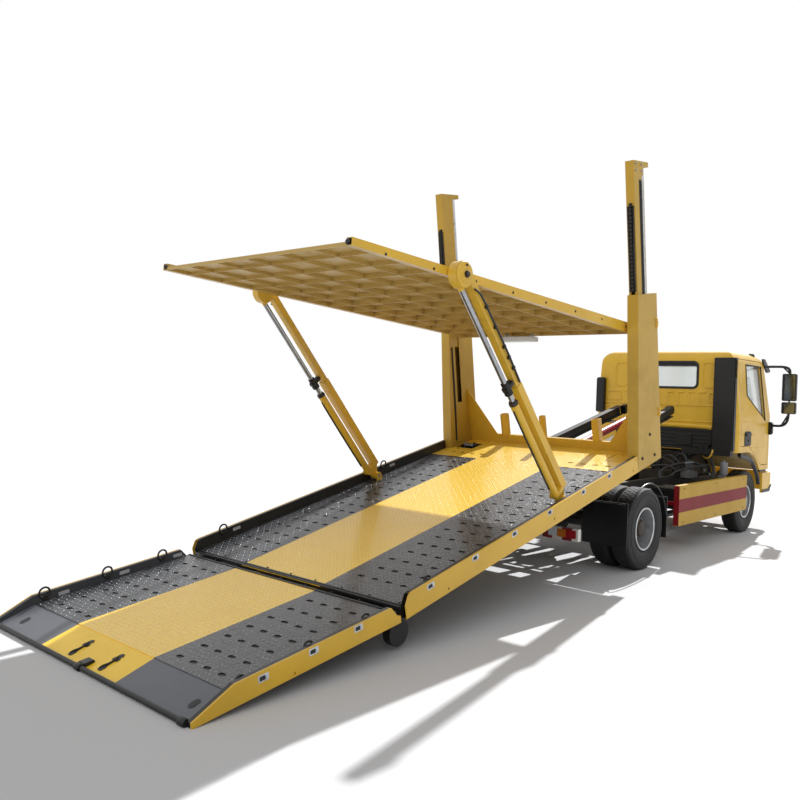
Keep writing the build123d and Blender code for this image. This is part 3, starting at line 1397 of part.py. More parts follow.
def upper_outline(shrink, over, y):
    """Block as deep as the upper deck's rail, deep in front and shallow at the rear, drawn in by shrink."""
    rear, front = -upper_rear_reach - over, upper_front_reach + over
    top = upper_rail_top - shrink
    rear_low = upper_rail_top - upper_rail_rear_height + shrink
    front_low = upper_rail_top - upper_rail_height + shrink
    return side_plate([(rear, rear_low), (front, front_low), (front, top), (rear, top)], y)


upper_plate_drop = 25.0


def upper_deck_plate():
    top = upper_rail_top - upper_plate_drop
    y = upper_half_width - upper_rail_width
    plate = slab((-upper_rear_reach, upper_front_reach), (-y, y), (top - upper_plate_thickness, top))
    return upper_place * plate


# Struts: two parallel members on one foot and one head

member_offset = 55.0
arm_half = 35.0
arm_plate = 5.0
arm_inner_half = arm_half - arm_plate - seat_gap
strut_barrel_radius = 34.0
strut_bore_radius = 26.0
strut_rod_radius = 21.0
arm_end = 1200.0
barrel_end = 1110.0
member_start = 100.0
foot_plate_half = 12.0
head_radius = 95.0
rod_overlap = 130.0


def strut_barrels():
    """Outer arm tube and cylinder barrel, joined by the foot that turns on the deck."""
    y = strut_y
    arm = slab((member_offset - arm_half, member_offset + arm_half), (y - arm_half, y + arm_half), (member_start, arm_end))
    arm -= slab((member_offset - arm_half + arm_plate, member_offset + arm_half - arm_plate),
                (y - arm_half + arm_plate, y + arm_half - arm_plate), (member_start - cut_over, arm_end + cut_over))
    barrel = rod_z(-member_offset, y, strut_barrel_radius, (member_start, barrel_end))
    barrel -= rod_z(-member_offset, y, strut_bore_radius, (member_start - cut_over, barrel_end - strut_bore_radius))
    barrel -= rod_z(-member_offset, y, strut_rod_radius + seat_gap, (member_start, barrel_end + cut_over))
    foot = side_plate([(-member_offset - arm_half, member_start), (-strut_foot_radius * 0.8, strut_foot_radius * 0.6),
                       (strut_foot_radius * 0.8, strut_foot_radius * 0.6), (member_offset + arm_half, member_start)],
                      (y - foot_plate_half, y + foot_plate_half))
    foot += rod_y(0, 0, strut_foot_radius, (y - strut_bracket_half, y + strut_bracket_half))
    band = slab((-member_offset - arm_half, member_offset + arm_half), (y - arm_half, y + arm_half),
                (member_start, member_start + arm_half))
    band -= slab((-member_offset - strut_bore_radius, -member_offset + strut_bore_radius),
                 (y - strut_bore_radius, y + strut_bore_radius), (member_start + arm_plate, member_start + arm_half * 2))
    band -= slab((member_offset - arm_half + arm_plate, member_offset + arm_half - arm_plate),
                 (y - arm_half + arm_plate, y + arm_half - arm_plate), (member_start + arm_plate, member_start + arm_half * 2))
    piece = arm + barrel + foot + band
    piece -= rod_y(0, 0, strut_pin_radius + running_gap, (0, y * 2))
    return strut_place * both_sides(piece)


def strut_rods():
    """Inner arm tube and chrome rod, joined by the rounded head at the upper deck."""
    y = strut_y
    top = strut_length
    low = arm_end - rod_overlap
    inner = slab((member_offset - arm_inner_half, member_offset + arm_inner_half),
                 (y - arm_inner_half, y + arm_inner_half), (low, top - arm_half))
    rod = rod_z(-member_offset, y, strut_rod_radius, (low, top - arm_half))
    head = rod_y(0, top, head_radius, (y - arm_half, y + arm_half))
    head &= slab((-head_radius * 2, head_radius * 2), (0, y * 2), (top - head_radius * 0.9, top + head_radius))
    return strut_place * both_sides(inner + rod + head)


def save(name, piece):
    """Write one piece with x counted from the middle of the truck's length."""
    export_step(Pos(-middle_x, 0, 0) * piece, os.path.join("parts", name + ".step"))


def main():
    shell = cab_shell()
    band = cab_side_band()
    door_hole = {side: band & side_cut(door_outline(door_gap), side) for side in (1, -1)}
    roof, rear, front, floor, sides = cab_panels(shell)
    for name, piece in (("cab_roof", roof), ("cab_rear_panel", rear), ("cab_front_panel", front + cab_tilt_tube()),
                        ("cab_floor", cab_floor(floor)), ("cab_side_frames", sides)):
        save(name, piece - door_hole[1] - door_hole[-1])
    for side, word in ((1, "left"), (-1, "right")):
        save("door_" + word, door(band, side))
        save("door_glass_" + word, door_glass(side))
        save("column_" + word, column(side))
        save("mast_" + word, mast(side))
        save("knuckle_" + word, knuckle(side))
        for name, piece in (("front_tyre_", Pos(wheelbase, front_wheel_y, tyre_radius) * tyre()),
                            ("front_rim_", front_rim()), ("rear_tyres_", rear_tyres()), ("rear_rims_", rear_rims())):
            save(name + word, piece if side > 0 else mirror(piece, Plane.XZ))
    pieces = {
        "chassis_frame": chassis_frame(), "subframe": subframe(), "front_axle": front_axle(),
        "rear_axle": rear_axle(), "propeller_shaft": propeller_shaft(), "leaf_springs": leaf_springs(),
        "engine": engine(), "fuel_tank": fuel_tank(), "side_guards": side_guards(), "underrun_bar": underrun_bar(),
        "mudguards": mudguards(), "front_bumper": front_bumper(), "air_intake_duct": air_intake_duct(),
        "cab_glass": cab_glass(), "seats": seats(), "dashboard": dashboard(), "steering_wheel": steering_wheel(),
        "mirrors": mirrors(), "sun_visor": sun_visor(), "tilt_frame": tilt_frame(), "slide_cylinder": slide_cylinder(),
        "tilt_cylinders": tilt_cylinders(), "tilt_rods": tilt_rods(), "lower_deck_frame": lower_deck_frame(),
        "lower_deck_plate": lower_deck_plate(), "front_wall": front_wall(), "lift_cylinders": lift_cylinders(),
        "slide_rod": slide_rod(), "hinge_rollers": hinge_rollers(), "deck_brackets": roller_hangers() + strut_brackets(),
        "tail_ramp_frame": tail_ramp_frame(), "tail_ramp_plate": tail_ramp_plate(), "lift_rods": lift_rods(),
        "upper_deck_frame": upper_deck_frame(), "upper_deck_plate": upper_deck_plate(),
        "strut_barrels": strut_barrels(), "strut_rods": strut_rods(),
    }
    for name, piece in pieces.items():
        save(name, piece)


if __name__ == "__main__":
    main()
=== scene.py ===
import math

import bmesh
import bpy
from bpy.props import FloatProperty, FloatVectorProperty, IntProperty, PointerProperty
from mathutils import Matrix, Vector


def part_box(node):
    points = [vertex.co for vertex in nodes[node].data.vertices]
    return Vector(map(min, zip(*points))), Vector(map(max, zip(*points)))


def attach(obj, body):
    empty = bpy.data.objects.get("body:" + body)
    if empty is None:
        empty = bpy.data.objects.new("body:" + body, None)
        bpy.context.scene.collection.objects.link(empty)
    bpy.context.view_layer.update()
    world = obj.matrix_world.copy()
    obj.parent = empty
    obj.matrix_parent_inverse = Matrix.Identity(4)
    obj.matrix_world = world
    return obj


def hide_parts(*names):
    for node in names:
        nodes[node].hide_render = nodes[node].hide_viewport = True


bl_info = {
    "name": "Double-deck recovery truck",
    "version": (1, 0, 0),
    "blender": (4, 5, 0),
    "location": "3D View > Sidebar > Truck",
    "description": "Finishes and fittings of a recovery truck with two car decks",
    "category": "Object",
}

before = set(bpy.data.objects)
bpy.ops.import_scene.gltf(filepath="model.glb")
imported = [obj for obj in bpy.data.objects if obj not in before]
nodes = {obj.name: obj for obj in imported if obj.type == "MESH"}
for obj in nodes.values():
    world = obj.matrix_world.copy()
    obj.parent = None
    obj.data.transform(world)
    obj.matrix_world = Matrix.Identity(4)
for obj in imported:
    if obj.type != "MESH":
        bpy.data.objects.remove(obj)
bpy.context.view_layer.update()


# Places: metres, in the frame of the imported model


def middle_of(node):
    low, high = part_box(node)
    return (low + high) / 2


def turned(axis, degrees):
    return Matrix.Rotation(math.radians(degrees), 4, axis)


def at(x, y, z):
    return Matrix.Translation((x, y, z))


def about_y(x, z, degrees):
    """A place at x and z, its own x axis turned down from forward by degrees."""
    return at(x, 0, z) @ turned("Y", degrees)


axle_x = middle_of("rear_tyres_left").x
wheel_z = middle_of("rear_tyres_left").z
front_x = middle_of("front_tyre_left").x
deck_rise = 13.115
deck = about_y(axle_x + 0.062, 1.116, -deck_rise)
ramp_pin = (deck @ at(-3.903, 0, 0.030)).translation
ramp_rise = math.degrees(math.asin(ramp_pin.z / math.hypot(1.562, 0.030)) - math.atan(0.030 / 1.562))
ramp = about_y(ramp_pin.x, ramp_pin.z, -ramp_rise) @ at(0, 0, -0.030)
column = deck @ turned("Y", 4.13)
mast_rear = -0.389
mast_front = -0.199
upper_pin = (column @ at((mast_rear + mast_front) / 2, 0, 1.295)).translation
upper = about_y(upper_pin.x, upper_pin.z, 2.76)
strut_foot = (deck @ at(-1.742, 0, 0.106)).translation
strut_head = (upper @ at(-2.7345, 0, 0.010)).translation
strut_length = (strut_head - strut_foot).length
strut_lean = math.degrees(math.atan((strut_foot.x - strut_head.x) / (strut_head.z - strut_foot.z)))
strut = about_y(strut_foot.x, strut_foot.z, -strut_lean)
truck = at(axle_x, 0, 0)
deck_half = 1.164
plate_top = 0.064
rail_depth = 0.045
rail_width = 0.040
# The yellow stripe between the wheel lanes: from and to, across the deck
deck_stripe = (-0.37, 0.51)
ramp_stripe = (-0.40, 0.49)
# The deck is yellow from here to the front wall; the ramp nowhere
yellow_front = -0.77
beyond = 9.0
rail_skin = 0.012
SIDES = ((1, "left"), (-1, "right"))


# Colours and nodes


def linear_colour(hex_value):
    """A linear colour with alpha from an sRGB hex value."""
    channels = [int(hex_value[i:i + 2], 16) / 255 for i in (1, 3, 5)]
    return tuple(c / 12.92 if c <= 0.04045 else ((c + 0.055) / 1.055) ** 2.4 for c in channels) + (1.0,)


def add_node(tree, kind, inputs=None, **settings):
    """Add a node, make its settings, and fill each named input with a value or a link."""
    made = tree.nodes.new(kind)
    for name, value in settings.items():
        setattr(made, name, value)
    for name, value in (inputs or {}).items():
        if isinstance(value, bpy.types.NodeSocket):
            tree.links.new(value, made.inputs[name])
        else:
            made.inputs[name].default_value = value
    return made


def start_material(name, **sockets):
    """A new material with its shader's uniform sockets set."""
    material = bpy.data.materials.new(name)
    material.use_nodes = True
    shader = material.node_tree.nodes["Principled BSDF"]
    for socket, value in sockets.items():
        shader.inputs[socket.replace("_", " ")].default_value = value
    return material, material.node_tree, shader


def own_place(tree):
    return add_node(tree, "ShaderNodeTexCoord").outputs["Object"]


def laid_in(tree, place):
    """Coordinates along the axes of a place, such as the deck."""
    lie = add_node(tree, "ShaderNodeMapping", {"Vector": own_place(tree), "Location": place.translation,
                                               "Rotation": place.to_euler()}, vector_type="TEXTURE")
    return lie.outputs["Vector"]


def noise(tree, place, size, detail=2.0):
    """Soft lumps about size metres wide."""
    made = add_node(tree, "ShaderNodeTexNoise", {"Vector": place, "Scale": 1 / size, "Detail": detail})
    return made.outputs["Fac"]


def mottle(tree, place, size, low, high, detail=5.0):
    """Uneven patches about size metres wide, as a factor from low to high."""
    lumps = add_node(tree, "ShaderNodeTexNoise", {"Vector": place, "Scale": 1 / size, "Detail": detail,
                                                  "Roughness": 0.62})
    spread = add_node(tree, "ShaderNodeMapRange", {"Value": lumps.outputs["Fac"], "From Min": 0.3,
                                                   "From Max": 0.7, "To Min": low, "To Max": high})
    return spread.outputs["Result"]


def blend_colours(tree, factor, first, second):
    mix = add_node(tree, "ShaderNodeMix", {"Factor": factor}, data_type="RGBA")
    for socket, value in ((mix.inputs[6], first), (mix.inputs[7], second)):
        if isinstance(value, bpy.types.NodeSocket):
            tree.links.new(value, socket)
        else:
            socket.default_value = value
    return mix.outputs[2]


def sum_of(tree, operation, first, second=0.0, third=0.0, clamp=False):
    step = add_node(tree, "ShaderNodeMath", operation=operation, use_clamp=clamp)
    for socket, value in zip(step.inputs, (first, second, third)):
        if isinstance(value, bpy.types.NodeSocket):
            tree.links.new(value, socket)
        else:
            socket.default_value = value
    return step.outputs["Value"]


def times(tree, first, second):
    return sum_of(tree, "MULTIPLY", first, second)


def plus(tree, first, second, clamp=False):
    return sum_of(tree, "ADD", first, second, clamp=clamp)


def scaled(tree, value, factor, start):
    """value times factor, plus start."""
    return sum_of(tree, "MULTIPLY_ADD", value, factor, start)


def cover(tree, shader, paint, rough):
    tree.links.new(paint, shader.inputs["Base Color"])
    tree.links.new(rough, shader.inputs["Roughness"])


def raise_surface(tree, shader, height, distance, strength=1.0):
    bump = add_node(tree, "ShaderNodeBump", {"Height": height, "Distance": distance, "Strength": strength})
    tree.links.new(bump.outputs["Normal"], shader.inputs["Normal"])
    return bump


def sprayed_enamel(name, colour, grime, grime_share=0.35, gloss=0.34, coat=0.2):
    """Two-pack polyurethane enamel sprayed on steel: even and glossy, with orange peel and road film."""
    material, tree, shader = start_material(name, Coat_Weight=coat, Coat_Roughness=0.08,
                                            Specular_IOR_Level=0.35)
    place = own_place(tree)
    film = mottle(tree, place, 0.45, 0.0, grime_share)
    runs = mottle(tree, place, 0.16, 0.2, 0.9, 3.0)
    dirt = times(tree, film, runs)
    specks = mottle(tree, place, 0.012, -0.9, 0.5, 2.0)
    dirt = plus(tree, dirt, times(tree, sum_of(tree, "MAXIMUM", specks, 0.0), film), clamp=True)
    cover(tree, shader, blend_colours(tree, dirt, colour, grime), scaled(tree, dirt, 0.5, gloss))
    # Orange peel is about 3 mm across, drawn at 9 mm so that it shows.
    peel = noise(tree, place, 0.009, 1.0)
    dents = noise(tree, place, 0.25, 2.0)
    wave = scaled(tree, dents, 6.0, peel)
    raise_surface(tree, shader, wave, 0.0004)
    return material


def plain_finish(name, colour, worn, rough=0.5, grain=0.004, depth=0.0003, share=0.5, **sockets):
    """One colour with wear patches, and a fine grain raised from its surface."""
    material, tree, shader = start_material(name, **sockets)
    place = own_place(tree)
    patches = mottle(tree, place, grain * 40, 0.0, share)
    cover(tree, shader, blend_colours(tree, patches, colour, worn), scaled(tree, patches, 0.25, rough))
    fine = noise(tree, place, grain, 3.0)
    raise_surface(tree, shader, fine, depth)
    return material


def tread_bars(tree, place, pitch, length, width):
    """Height of the rolled tread pattern: lens-shaped bars, each at right angles to its neighbours."""
    cells = add_node(tree, "ShaderNodeSeparateXYZ", {"Vector": place})
    along, across = cells.outputs["X"], cells.outputs["Y"]
    u, v = sum_of(tree, "DIVIDE", along, pitch), sum_of(tree, "DIVIDE", across, pitch)
    cell_u, cell_v = sum_of(tree, "FLOOR", u), sum_of(tree, "FLOOR", v)
    odd = sum_of(tree, "MODULO", plus(tree, plus(tree, cell_u, cell_v), 4000.0), 2.0)
    side_u = sum_of(tree, "SUBTRACT", sum_of(tree, "FRACT", plus(tree, u, 1000.0)), 0.5)
    side_v = sum_of(tree, "SUBTRACT", sum_of(tree, "FRACT", plus(tree, v, 1000.0)), 0.5)
    flip = scaled(tree, odd, -2.0, 1.0)
    turned_v = times(tree, side_v, flip)
    long_way = plus(tree, side_u, turned_v)
    short_way = sum_of(tree, "SUBTRACT", side_u, turned_v)
    a = sum_of(tree, "POWER", sum_of(tree, "ABSOLUTE", times(tree, long_way, 1.414 * pitch / length)), 2.0)
    b = sum_of(tree, "POWER", sum_of(tree, "ABSOLUTE", times(tree, short_way, 1.414 * pitch / width)), 2.0)
    return sum_of(tree, "SUBTRACT", 1.0, plus(tree, a, b), clamp=True)


def in_band(tree, value, low, high, soft=0.003):
    """1 where value lies between low and high, else 0."""
    rise = add_node(tree, "ShaderNodeMapRange", {"Value": value, "From Min": low - soft,
                                                 "From Max": low + soft})
    fall = add_node(tree, "ShaderNodeMapRange", {"Value": value, "From Min": high - soft,
                                                 "From Max": high + soft, "To Min": 1.0, "To Max": 0.0})
    return times(tree, rise.outputs["Result"], fall.outputs["Result"])


def deck_floor(name, place_of_deck, stripe, yellow_from, colours, bars):
    """Tread plate rolled with raised bars, painted in glossy dark lanes beside a yellow middle."""
    material, tree, shader = start_material(name, Coat_Weight=0.30, Coat_Roughness=0.12)
    place = laid_in(tree, place_of_deck)
    axes = add_node(tree, "ShaderNodeSeparateXYZ", {"Vector": place})
    yellow = in_band(tree, axes.outputs["Y"], *stripe)
    front = in_band(tree, axes.outputs["X"], yellow_from, 5.0)
    yellow = sum_of(tree, "MAXIMUM", yellow, front)
    # The deck yellow on this floor is painted light, lighter than the body yellow.
    paint = blend_colours(tree, yellow, colours.lane, colours.deck)
    film = mottle(tree, place, 0.30, 0.0, 0.45)
    paint = blend_colours(tree, film, paint, blend_colours(tree, yellow, colours.dust, colours.body_dust))
    height = tread_bars(tree, place, bars.tread_pitch, bars.tread_length, bars.tread_width)
    # Shoes and tyres polish the tops of the bars, and dust stays between them. The lighter colour on the bar
    # tops is partly that wear and partly painted highlight, for glints on the bars.
    tops = times(tree, sum_of(tree, "GREATER_THAN", height, 0.30), mottle(tree, place, 0.05, 0.15, 0.75))
    paint = blend_colours(tree, tops, paint, blend_colours(tree, yellow, colours.lane_wear_and_glint,
                                                           colours.body_light))
    tree.links.new(paint, shader.inputs["Base Color"])
    gloss = sum_of(tree, "SUBTRACT", scaled(tree, film, 0.24, 0.26), times(tree, tops, 0.2))
    tree.links.new(gloss, shader.inputs["Roughness"])
    ripple = mottle(tree, place, 0.018, 0.0, 0.5, 3.0)
    # Paint lies thicker on the yellow and softens its bars.
    height = times(tree, height, scaled(tree, yellow, -0.6, 1.0))
    raise_surface(tree, shader, plus(tree, height, ripple), bars.tread_height)
    return material


def striped_paint(name, base, bands, place, axis, gloss=0.3, shine=0.3):
    """Enamel masked and sprayed in bands: each band is (low, high, colour) along one axis of place."""
    material, tree, shader = start_material(name, Coat_Weight=shine / 2, Coat_Roughness=0.1,
                                            Specular_IOR_Level=shine)
    lie = laid_in(tree, place)
    axes = add_node(tree, "ShaderNodeSeparateXYZ", {"Vector": lie})
    paint = base
    for low, high, colour in bands:
        paint = blend_colours(tree, in_band(tree, axes.outputs[axis], low, high, 0.0015), paint, colour)
    film = mottle(tree, lie, 0.35, 0.0, 0.16)
    grime = linear_colour("#5E5645")
    cover(tree, shader, blend_colours(tree, film, paint, grime), scaled(tree, film, 0.8, gloss))
    peel = noise(tree, lie, 0.009)
    raise_surface(tree, shader, peel, 0.0003)
    return material


def clear_glass(name, tint, rough=0.02):
    """Toughened float glass: clear and smooth, slightly tinted, with dried rain on it."""
    material, tree, shader = start_material(name, Transmission_Weight=0.92, IOR=1.45, Alpha=1.0)
    shader.inputs["Base Color"].default_value = tint
    spots = mottle(tree, own_place(tree), 0.03, 0.0, 0.12)
    tree.links.new(plus(tree, spots, rough), shader.inputs["Roughness"])
    return material


def hammered(name, colour, rough, metallic=1.0, scratch=0.002):
    """Bare metal: long fine scratches along the piece and a little dirt in patches."""
    material, tree, shader = start_material(name, Metallic=metallic)
    place = own_place(tree)
    drawn = add_node(tree, "ShaderNodeMapping", {"Vector": place, "Scale": (0.08, 1.0, 1.0)})
    lines = noise(tree, drawn.outputs["Vector"], scratch, 2.0)
    soil = mottle(tree, place, 0.12, 0.0, 0.4)
    cover(tree, shader, blend_colours(tree, soil, colour, linear_colour("#3A3733")),
          scaled(tree, lines, 0.15, rough))
    raise_surface(tree, shader, lines, 0.00008)
    return material


def lamp_lens(name, colour):
    """Acrylic lens moulded with a grid of small prisms."""
    material, tree, shader = start_material(name, Transmission_Weight=0.25, IOR=1.49, Roughness=0.15)
    shader.inputs["Base Color"].default_value = colour
    place = own_place(tree)
    prism = add_node(tree, "ShaderNodeTexVoronoi", {"Vector": place, "Scale": 1 / 0.008, "Randomness": 0.0})
    raise_surface(tree, shader, prism.outputs["Distance"], 0.0015)
    return material


def tyre_rubber(name, colour, dust):
    """Carbon-filled rubber: near black and matt, with chalky dust in its grain."""
    material, tree, shader = start_material(name, IOR=1.52)
    place = own_place(tree)
    dusty = mottle(tree, place, 0.08, 0.0, 0.5)
    cover(tree, shader, blend_colours(tree, dusty, colour, dust), scaled(tree, dusty, 0.2, 0.62))
    grain = noise(tree, place, 0.003, 2.0)
    raise_surface(tree, shader, grain, 0.0005)
    return material


def seat_cloth(name, colour, thread):
    """Woven polyester over foam: a plain weave of two thread tones."""
    material, tree, shader = start_material(name, Sheen_Weight=0.3, Roughness=0.85)
    place = own_place(tree)
    # Threads are 1.2 mm apart, drawn at 6 mm so that the weave shows.
    weave = add_node(tree, "ShaderNodeTexChecker", {"Vector": place, "Scale": 1 / 0.006, "Color1": colour,
                                                    "Color2": thread})
    tree.links.new(weave.outputs["Color"], shader.inputs["Base Color"])
    raise_surface(tree, shader, weave.outputs["Fac"], 0.0004)
    return material


# Sizes and colours that a user would change


class TruckSizes(bpy.types.PropertyGroup):
    tread_pitch: FloatProperty(name="Tread pitch",
                               description="Distance between the raised bars of the deck plate",
                               default=0.038, min=0.01, unit="LENGTH")
    tread_length: FloatProperty(name="Tread bar length", description="Length of one raised bar",
                                default=0.036, min=0.005, unit="LENGTH")
    tread_width: FloatProperty(name="Tread bar width", description="Width of one raised bar", default=0.010,
                               min=0.002, unit="LENGTH")
    tread_height: FloatProperty(name="Tread bar height", description="How far a bar stands up",
                                default=0.0050, min=0.0005, unit="LENGTH")
    ring_radius: FloatProperty(name="Lashing ring radius", description="Middle radius of a lashing ring",
                               default=0.038, min=0.01, unit="LENGTH")
    ring_wire: FloatProperty(name="Lashing ring wire", description="Radius of the ring's round bar",
                             default=0.0075, min=0.002, unit="LENGTH")
    hose: FloatProperty(name="Hose radius", description="Outer radius of a hydraulic hose", default=0.010,
                        min=0.003, unit="LENGTH")
    bolt: FloatProperty(name="Bolt size", description="Half the width of a bolt's head", default=0.012,
                        min=0.004, unit="LENGTH")
    tread_blocks: IntProperty(name="Tread blocks", description="Blocks round each rib of a tyre", default=54,
                              min=12)


def colour_property(name, hex_value, words):
    return FloatVectorProperty(name=name, description=words, subtype="COLOR", size=4, min=0.0, max=1.0,
                               default=linear_colour(hex_value))


class TruckColours(bpy.types.PropertyGroup):
    body: colour_property("Body yellow", "#DCB033", "Yellow enamel of cab, decks and masts")
    # Deck yellow is painted light: it is lighter than the body yellow so that the deck floor, which lies in
    # the upper deck's shade, looks lit.
    deck: colour_property("Deck yellow", "#FCCF38", "Yellow floor of deck and ramp")
    column: colour_property("Column yellow", "#BE9935", "Duller yellow of columns and masts")
    # Lighter yellow for the bar tops: polish wear and painted highlight.
    body_light: colour_property("Worn yellow", "#FBD95E", "Yellow where it is polished")
    body_dust: colour_property("Dusty yellow", "#E9C045", "Yellow under a film of dust")
    # Underside yellow is darker and browner than the body yellow: partly dust, partly painted shade under the
    # upper deck.
    under: colour_property("Underside yellow", "#B89952", "Thin, dusty yellow under the upper deck")
    lane: colour_property("Lane grey", "#15161A", "Dark paint of the deck's wheel lanes")
    # Light grey for the lane bar tops: polish wear and painted highlight.
    lane_wear_and_glint: colour_property("Worn lane", "#AEB1B8", "Lane paint on the tops of the bars")
    dust: colour_property("Lane dust", "#2E3034", "Dust on the dark lanes")
    black: colour_property("Chassis black", "#0D0E0F", "Black enamel of chassis and trim")
    road_dirt: colour_property("Road dirt", "#3A362F", "Dried road film")
    red: colour_property("Guard red", "#7C0A18", "Red band and red cylinders")
    rubber: colour_property("Rubber", "#090909", "Tyres, seals and hoses")


def sizes():
    return bpy.context.scene.truck_sizes


def colours():
    return bpy.context.scene.truck_colours


def tone(value):
    """The colour that a hex code or a name stands for; a number stays as it is."""
    if not isinstance(value, str):
        return value
    return linear_colour(value) if value.startswith("#") else tuple(getattr(colours(), value))


def finish(name):
    """The material of that name, made when it is first asked for."""
    made = bpy.data.materials.get(name)
    if made:
        return made
    maker, *values = FINISHES[name]
    sockets = values.pop() if values and isinstance(values[-1], dict) else {}
    return maker(name, *(tone(value) for value in values), **sockets)


def deck_yellow(name):
    return deck_floor(name, deck, deck_stripe, yellow_front, colours(), sizes())


def ramp_yellow(name):
    return deck_floor(name, ramp, ramp_stripe, beyond, colours(), sizes())


def rail_paint(name):
    c = colours()
    inner = ((rail_skin - deck_half, deck_half - rail_skin, tuple(c.black)),)
    return striped_paint(name, tuple(c.body), inner, Matrix.Identity(4), "Y")


def tip_paint(name):
    c = colours()
    # The middle band takes the deck yellow, which is painted light.
    bands = ((rail_skin - deck_half, deck_half - rail_skin, tuple(c.black)),
             (-1.124, 1.124, linear_colour("#565A62")), (*ramp_stripe, tuple(c.deck)))
    return striped_paint(name, tuple(c.body), bands, Matrix.Identity(4), "Y")


def upper_paint(name):
    c = colours()
    # Inside its rails the upper deck takes the underside yellow: dust and painted shade.
    return striped_paint(name, tuple(c.body), ((-1.012, 1.012, tuple(c.under)),), Matrix.Identity(4), "Y")


def strut_paint(name):
    """Yellow enamel, with hard chrome where the piston rods are."""
    material, tree, shader = start_material(name, Coat_Weight=0.15, Specular_IOR_Level=0.4)
    lie = laid_in(tree, strut)
    axes = add_node(tree, "ShaderNodeSeparateXYZ", {"Vector": lie})
    beside = sum_of(tree, "SUBTRACT", sum_of(tree, "ABSOLUTE", axes.outputs["Y"]), strut_y)
    rod = in_band(tree, axes.outputs["X"], strut_rod_x - 0.025, strut_rod_x + 0.025, 0.001)
    rod = times(tree, rod, in_band(tree, beside, -0.026, 0.026, 0.001))
    rod = times(tree, rod, in_band(tree, axes.outputs["Z"], 0.0, strut_length - 0.090, 0.001))
    film = mottle(tree, lie, 0.10, 0.0, 0.35)
    yellow = blend_colours(tree, film, tuple(colours().body), linear_colour("#8A6F33"))
    chrome = blend_colours(tree, film, linear_colour("#A9ACB0"), linear_colour("#3E4044"))
    tree.links.new(blend_colours(tree, rod, yellow, chrome), shader.inputs["Base Color"])
    tree.links.new(rod, shader.inputs["Metallic"])
    tree.links.new(scaled(tree, rod, -0.28, 0.36), shader.inputs["Roughness"])
    peel = noise(tree, lie, 0.009)
    raise_surface(tree, shader, peel, 0.0002)
    return material


def guard_paint(name):
    c = colours()
    low, high = (box[2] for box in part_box("side_guards"))
    third = (high - low) / 3
    bands = ((low + third, high - third, tuple(c.red)),)
    return striped_paint(name, tuple(c.column), bands, Matrix.Identity(4), "Z", 0.45, 0.12)


def underrun_paint(name):
    c = colours()
    bands = [(y / 10, y / 10 + 0.1, tuple(c.red)) for y in range(-11, 11, 2)]
    return striped_paint(name, linear_colour("#D8D6D0"), bands, Matrix.Identity(4), "Y")


# Each finish: the function that makes it, then what it is given; colours by hex code or by their name above
FINISHES = {
    "yellow polyurethane enamel": (sprayed_enamel, "body", "#7B6330", 0.30),
    "dusty yellow enamel": (sprayed_enamel, "column", "#6B5A34", 0.35, 0.42, 0.1),
    # This finish carries the underside yellow: dust and painted shade.
    "weathered yellow enamel": (sprayed_enamel, "under", "#7A6238", 0.5, 0.45, 0.1),
    "tread plate of the deck": (deck_yellow,),
    "tread plate of the ramp": (ramp_yellow,),
    "rail enamel, yellow outside and black inside": (rail_paint,),
    "ramp tip enamel": (tip_paint,),
    "upper deck enamel": (upper_paint,),
    "strut enamel and chrome": (strut_paint,),
    "guard enamel with a red band": (guard_paint,),
    "red and white reflective tape": (underrun_paint,),
    "black chassis enamel": (plain_finish, "black", "road_dirt", 0.45, 0.004, 0.0003, 0.5,
                             {"Specular_IOR_Level": 0.35}),
    "black moulded polypropylene": (plain_finish, "#08090A", "#15171A", 0.36, 0.003, 0.0002, 0.5,
                                    {"Specular_IOR_Level": 0.4}),
    "dark smooth steel paint": (plain_finish, "#3B3D43", "#55575D", 0.30),
    "black nylon": (plain_finish, "#0C0C0D", "#1D1D1F", 0.5),
    "hose rubber": (plain_finish, "rubber", "#2A2A2A", 0.55, 0.002),
    "tyre rubber": (tyre_rubber, "rubber", "#1C1A18"),
    "rim silver lacquer": (plain_finish, "#A2A4A7", "#4A4947", 0.35, 0.003, 0.0002, 0.5, {"Metallic": 0.3}),
    "hard chromed rod": (hammered, "#C9CBCE", 0.06, 1.0, 0.0008),
    "galvanised steel": (hammered, "#A5A8AA", 0.32),
    "cast aluminium": (hammered, "#77797B", 0.5, 0.8, 0.004),
    "cast iron with oil": (plain_finish, "#1E1D1C", "#4D4234", 0.45, 0.006, 0.0012, 0.8, {"Metallic": 0.3}),
    "red cylinder enamel": (sprayed_enamel, "#9E1020", "road_dirt", 0.4),
    "window glass": (clear_glass, "#F3F6F5"),
    "tinted acrylic": (clear_glass, "#3C4045", 0.05),
    "mirror glass": (hammered, "#8F979C", 0.02, 1.0, 0.0005),
    "red lamp lens": (lamp_lens, "#B0101A"),
    "amber lamp lens": (lamp_lens, "#E07A10"),
    "clear lamp lens": (lamp_lens, "#E4E8EA"),
    "guard end red": (sprayed_enamel, "#7A0C18", "road_dirt", 0.3),
    "bright zinc": (hammered, "#D8DEE4", 0.35, 0.4),
    "polished rim edge": (hammered, "#C4C6C8", 0.22, 1.0, 0.0015),
    "silver reflector": (lamp_lens, "#C9CCD0"),
    "seat polyester": (seat_cloth, "#1C1D20", "#34363B"),
}


# Shapes: each function adds to a mesh that is under work


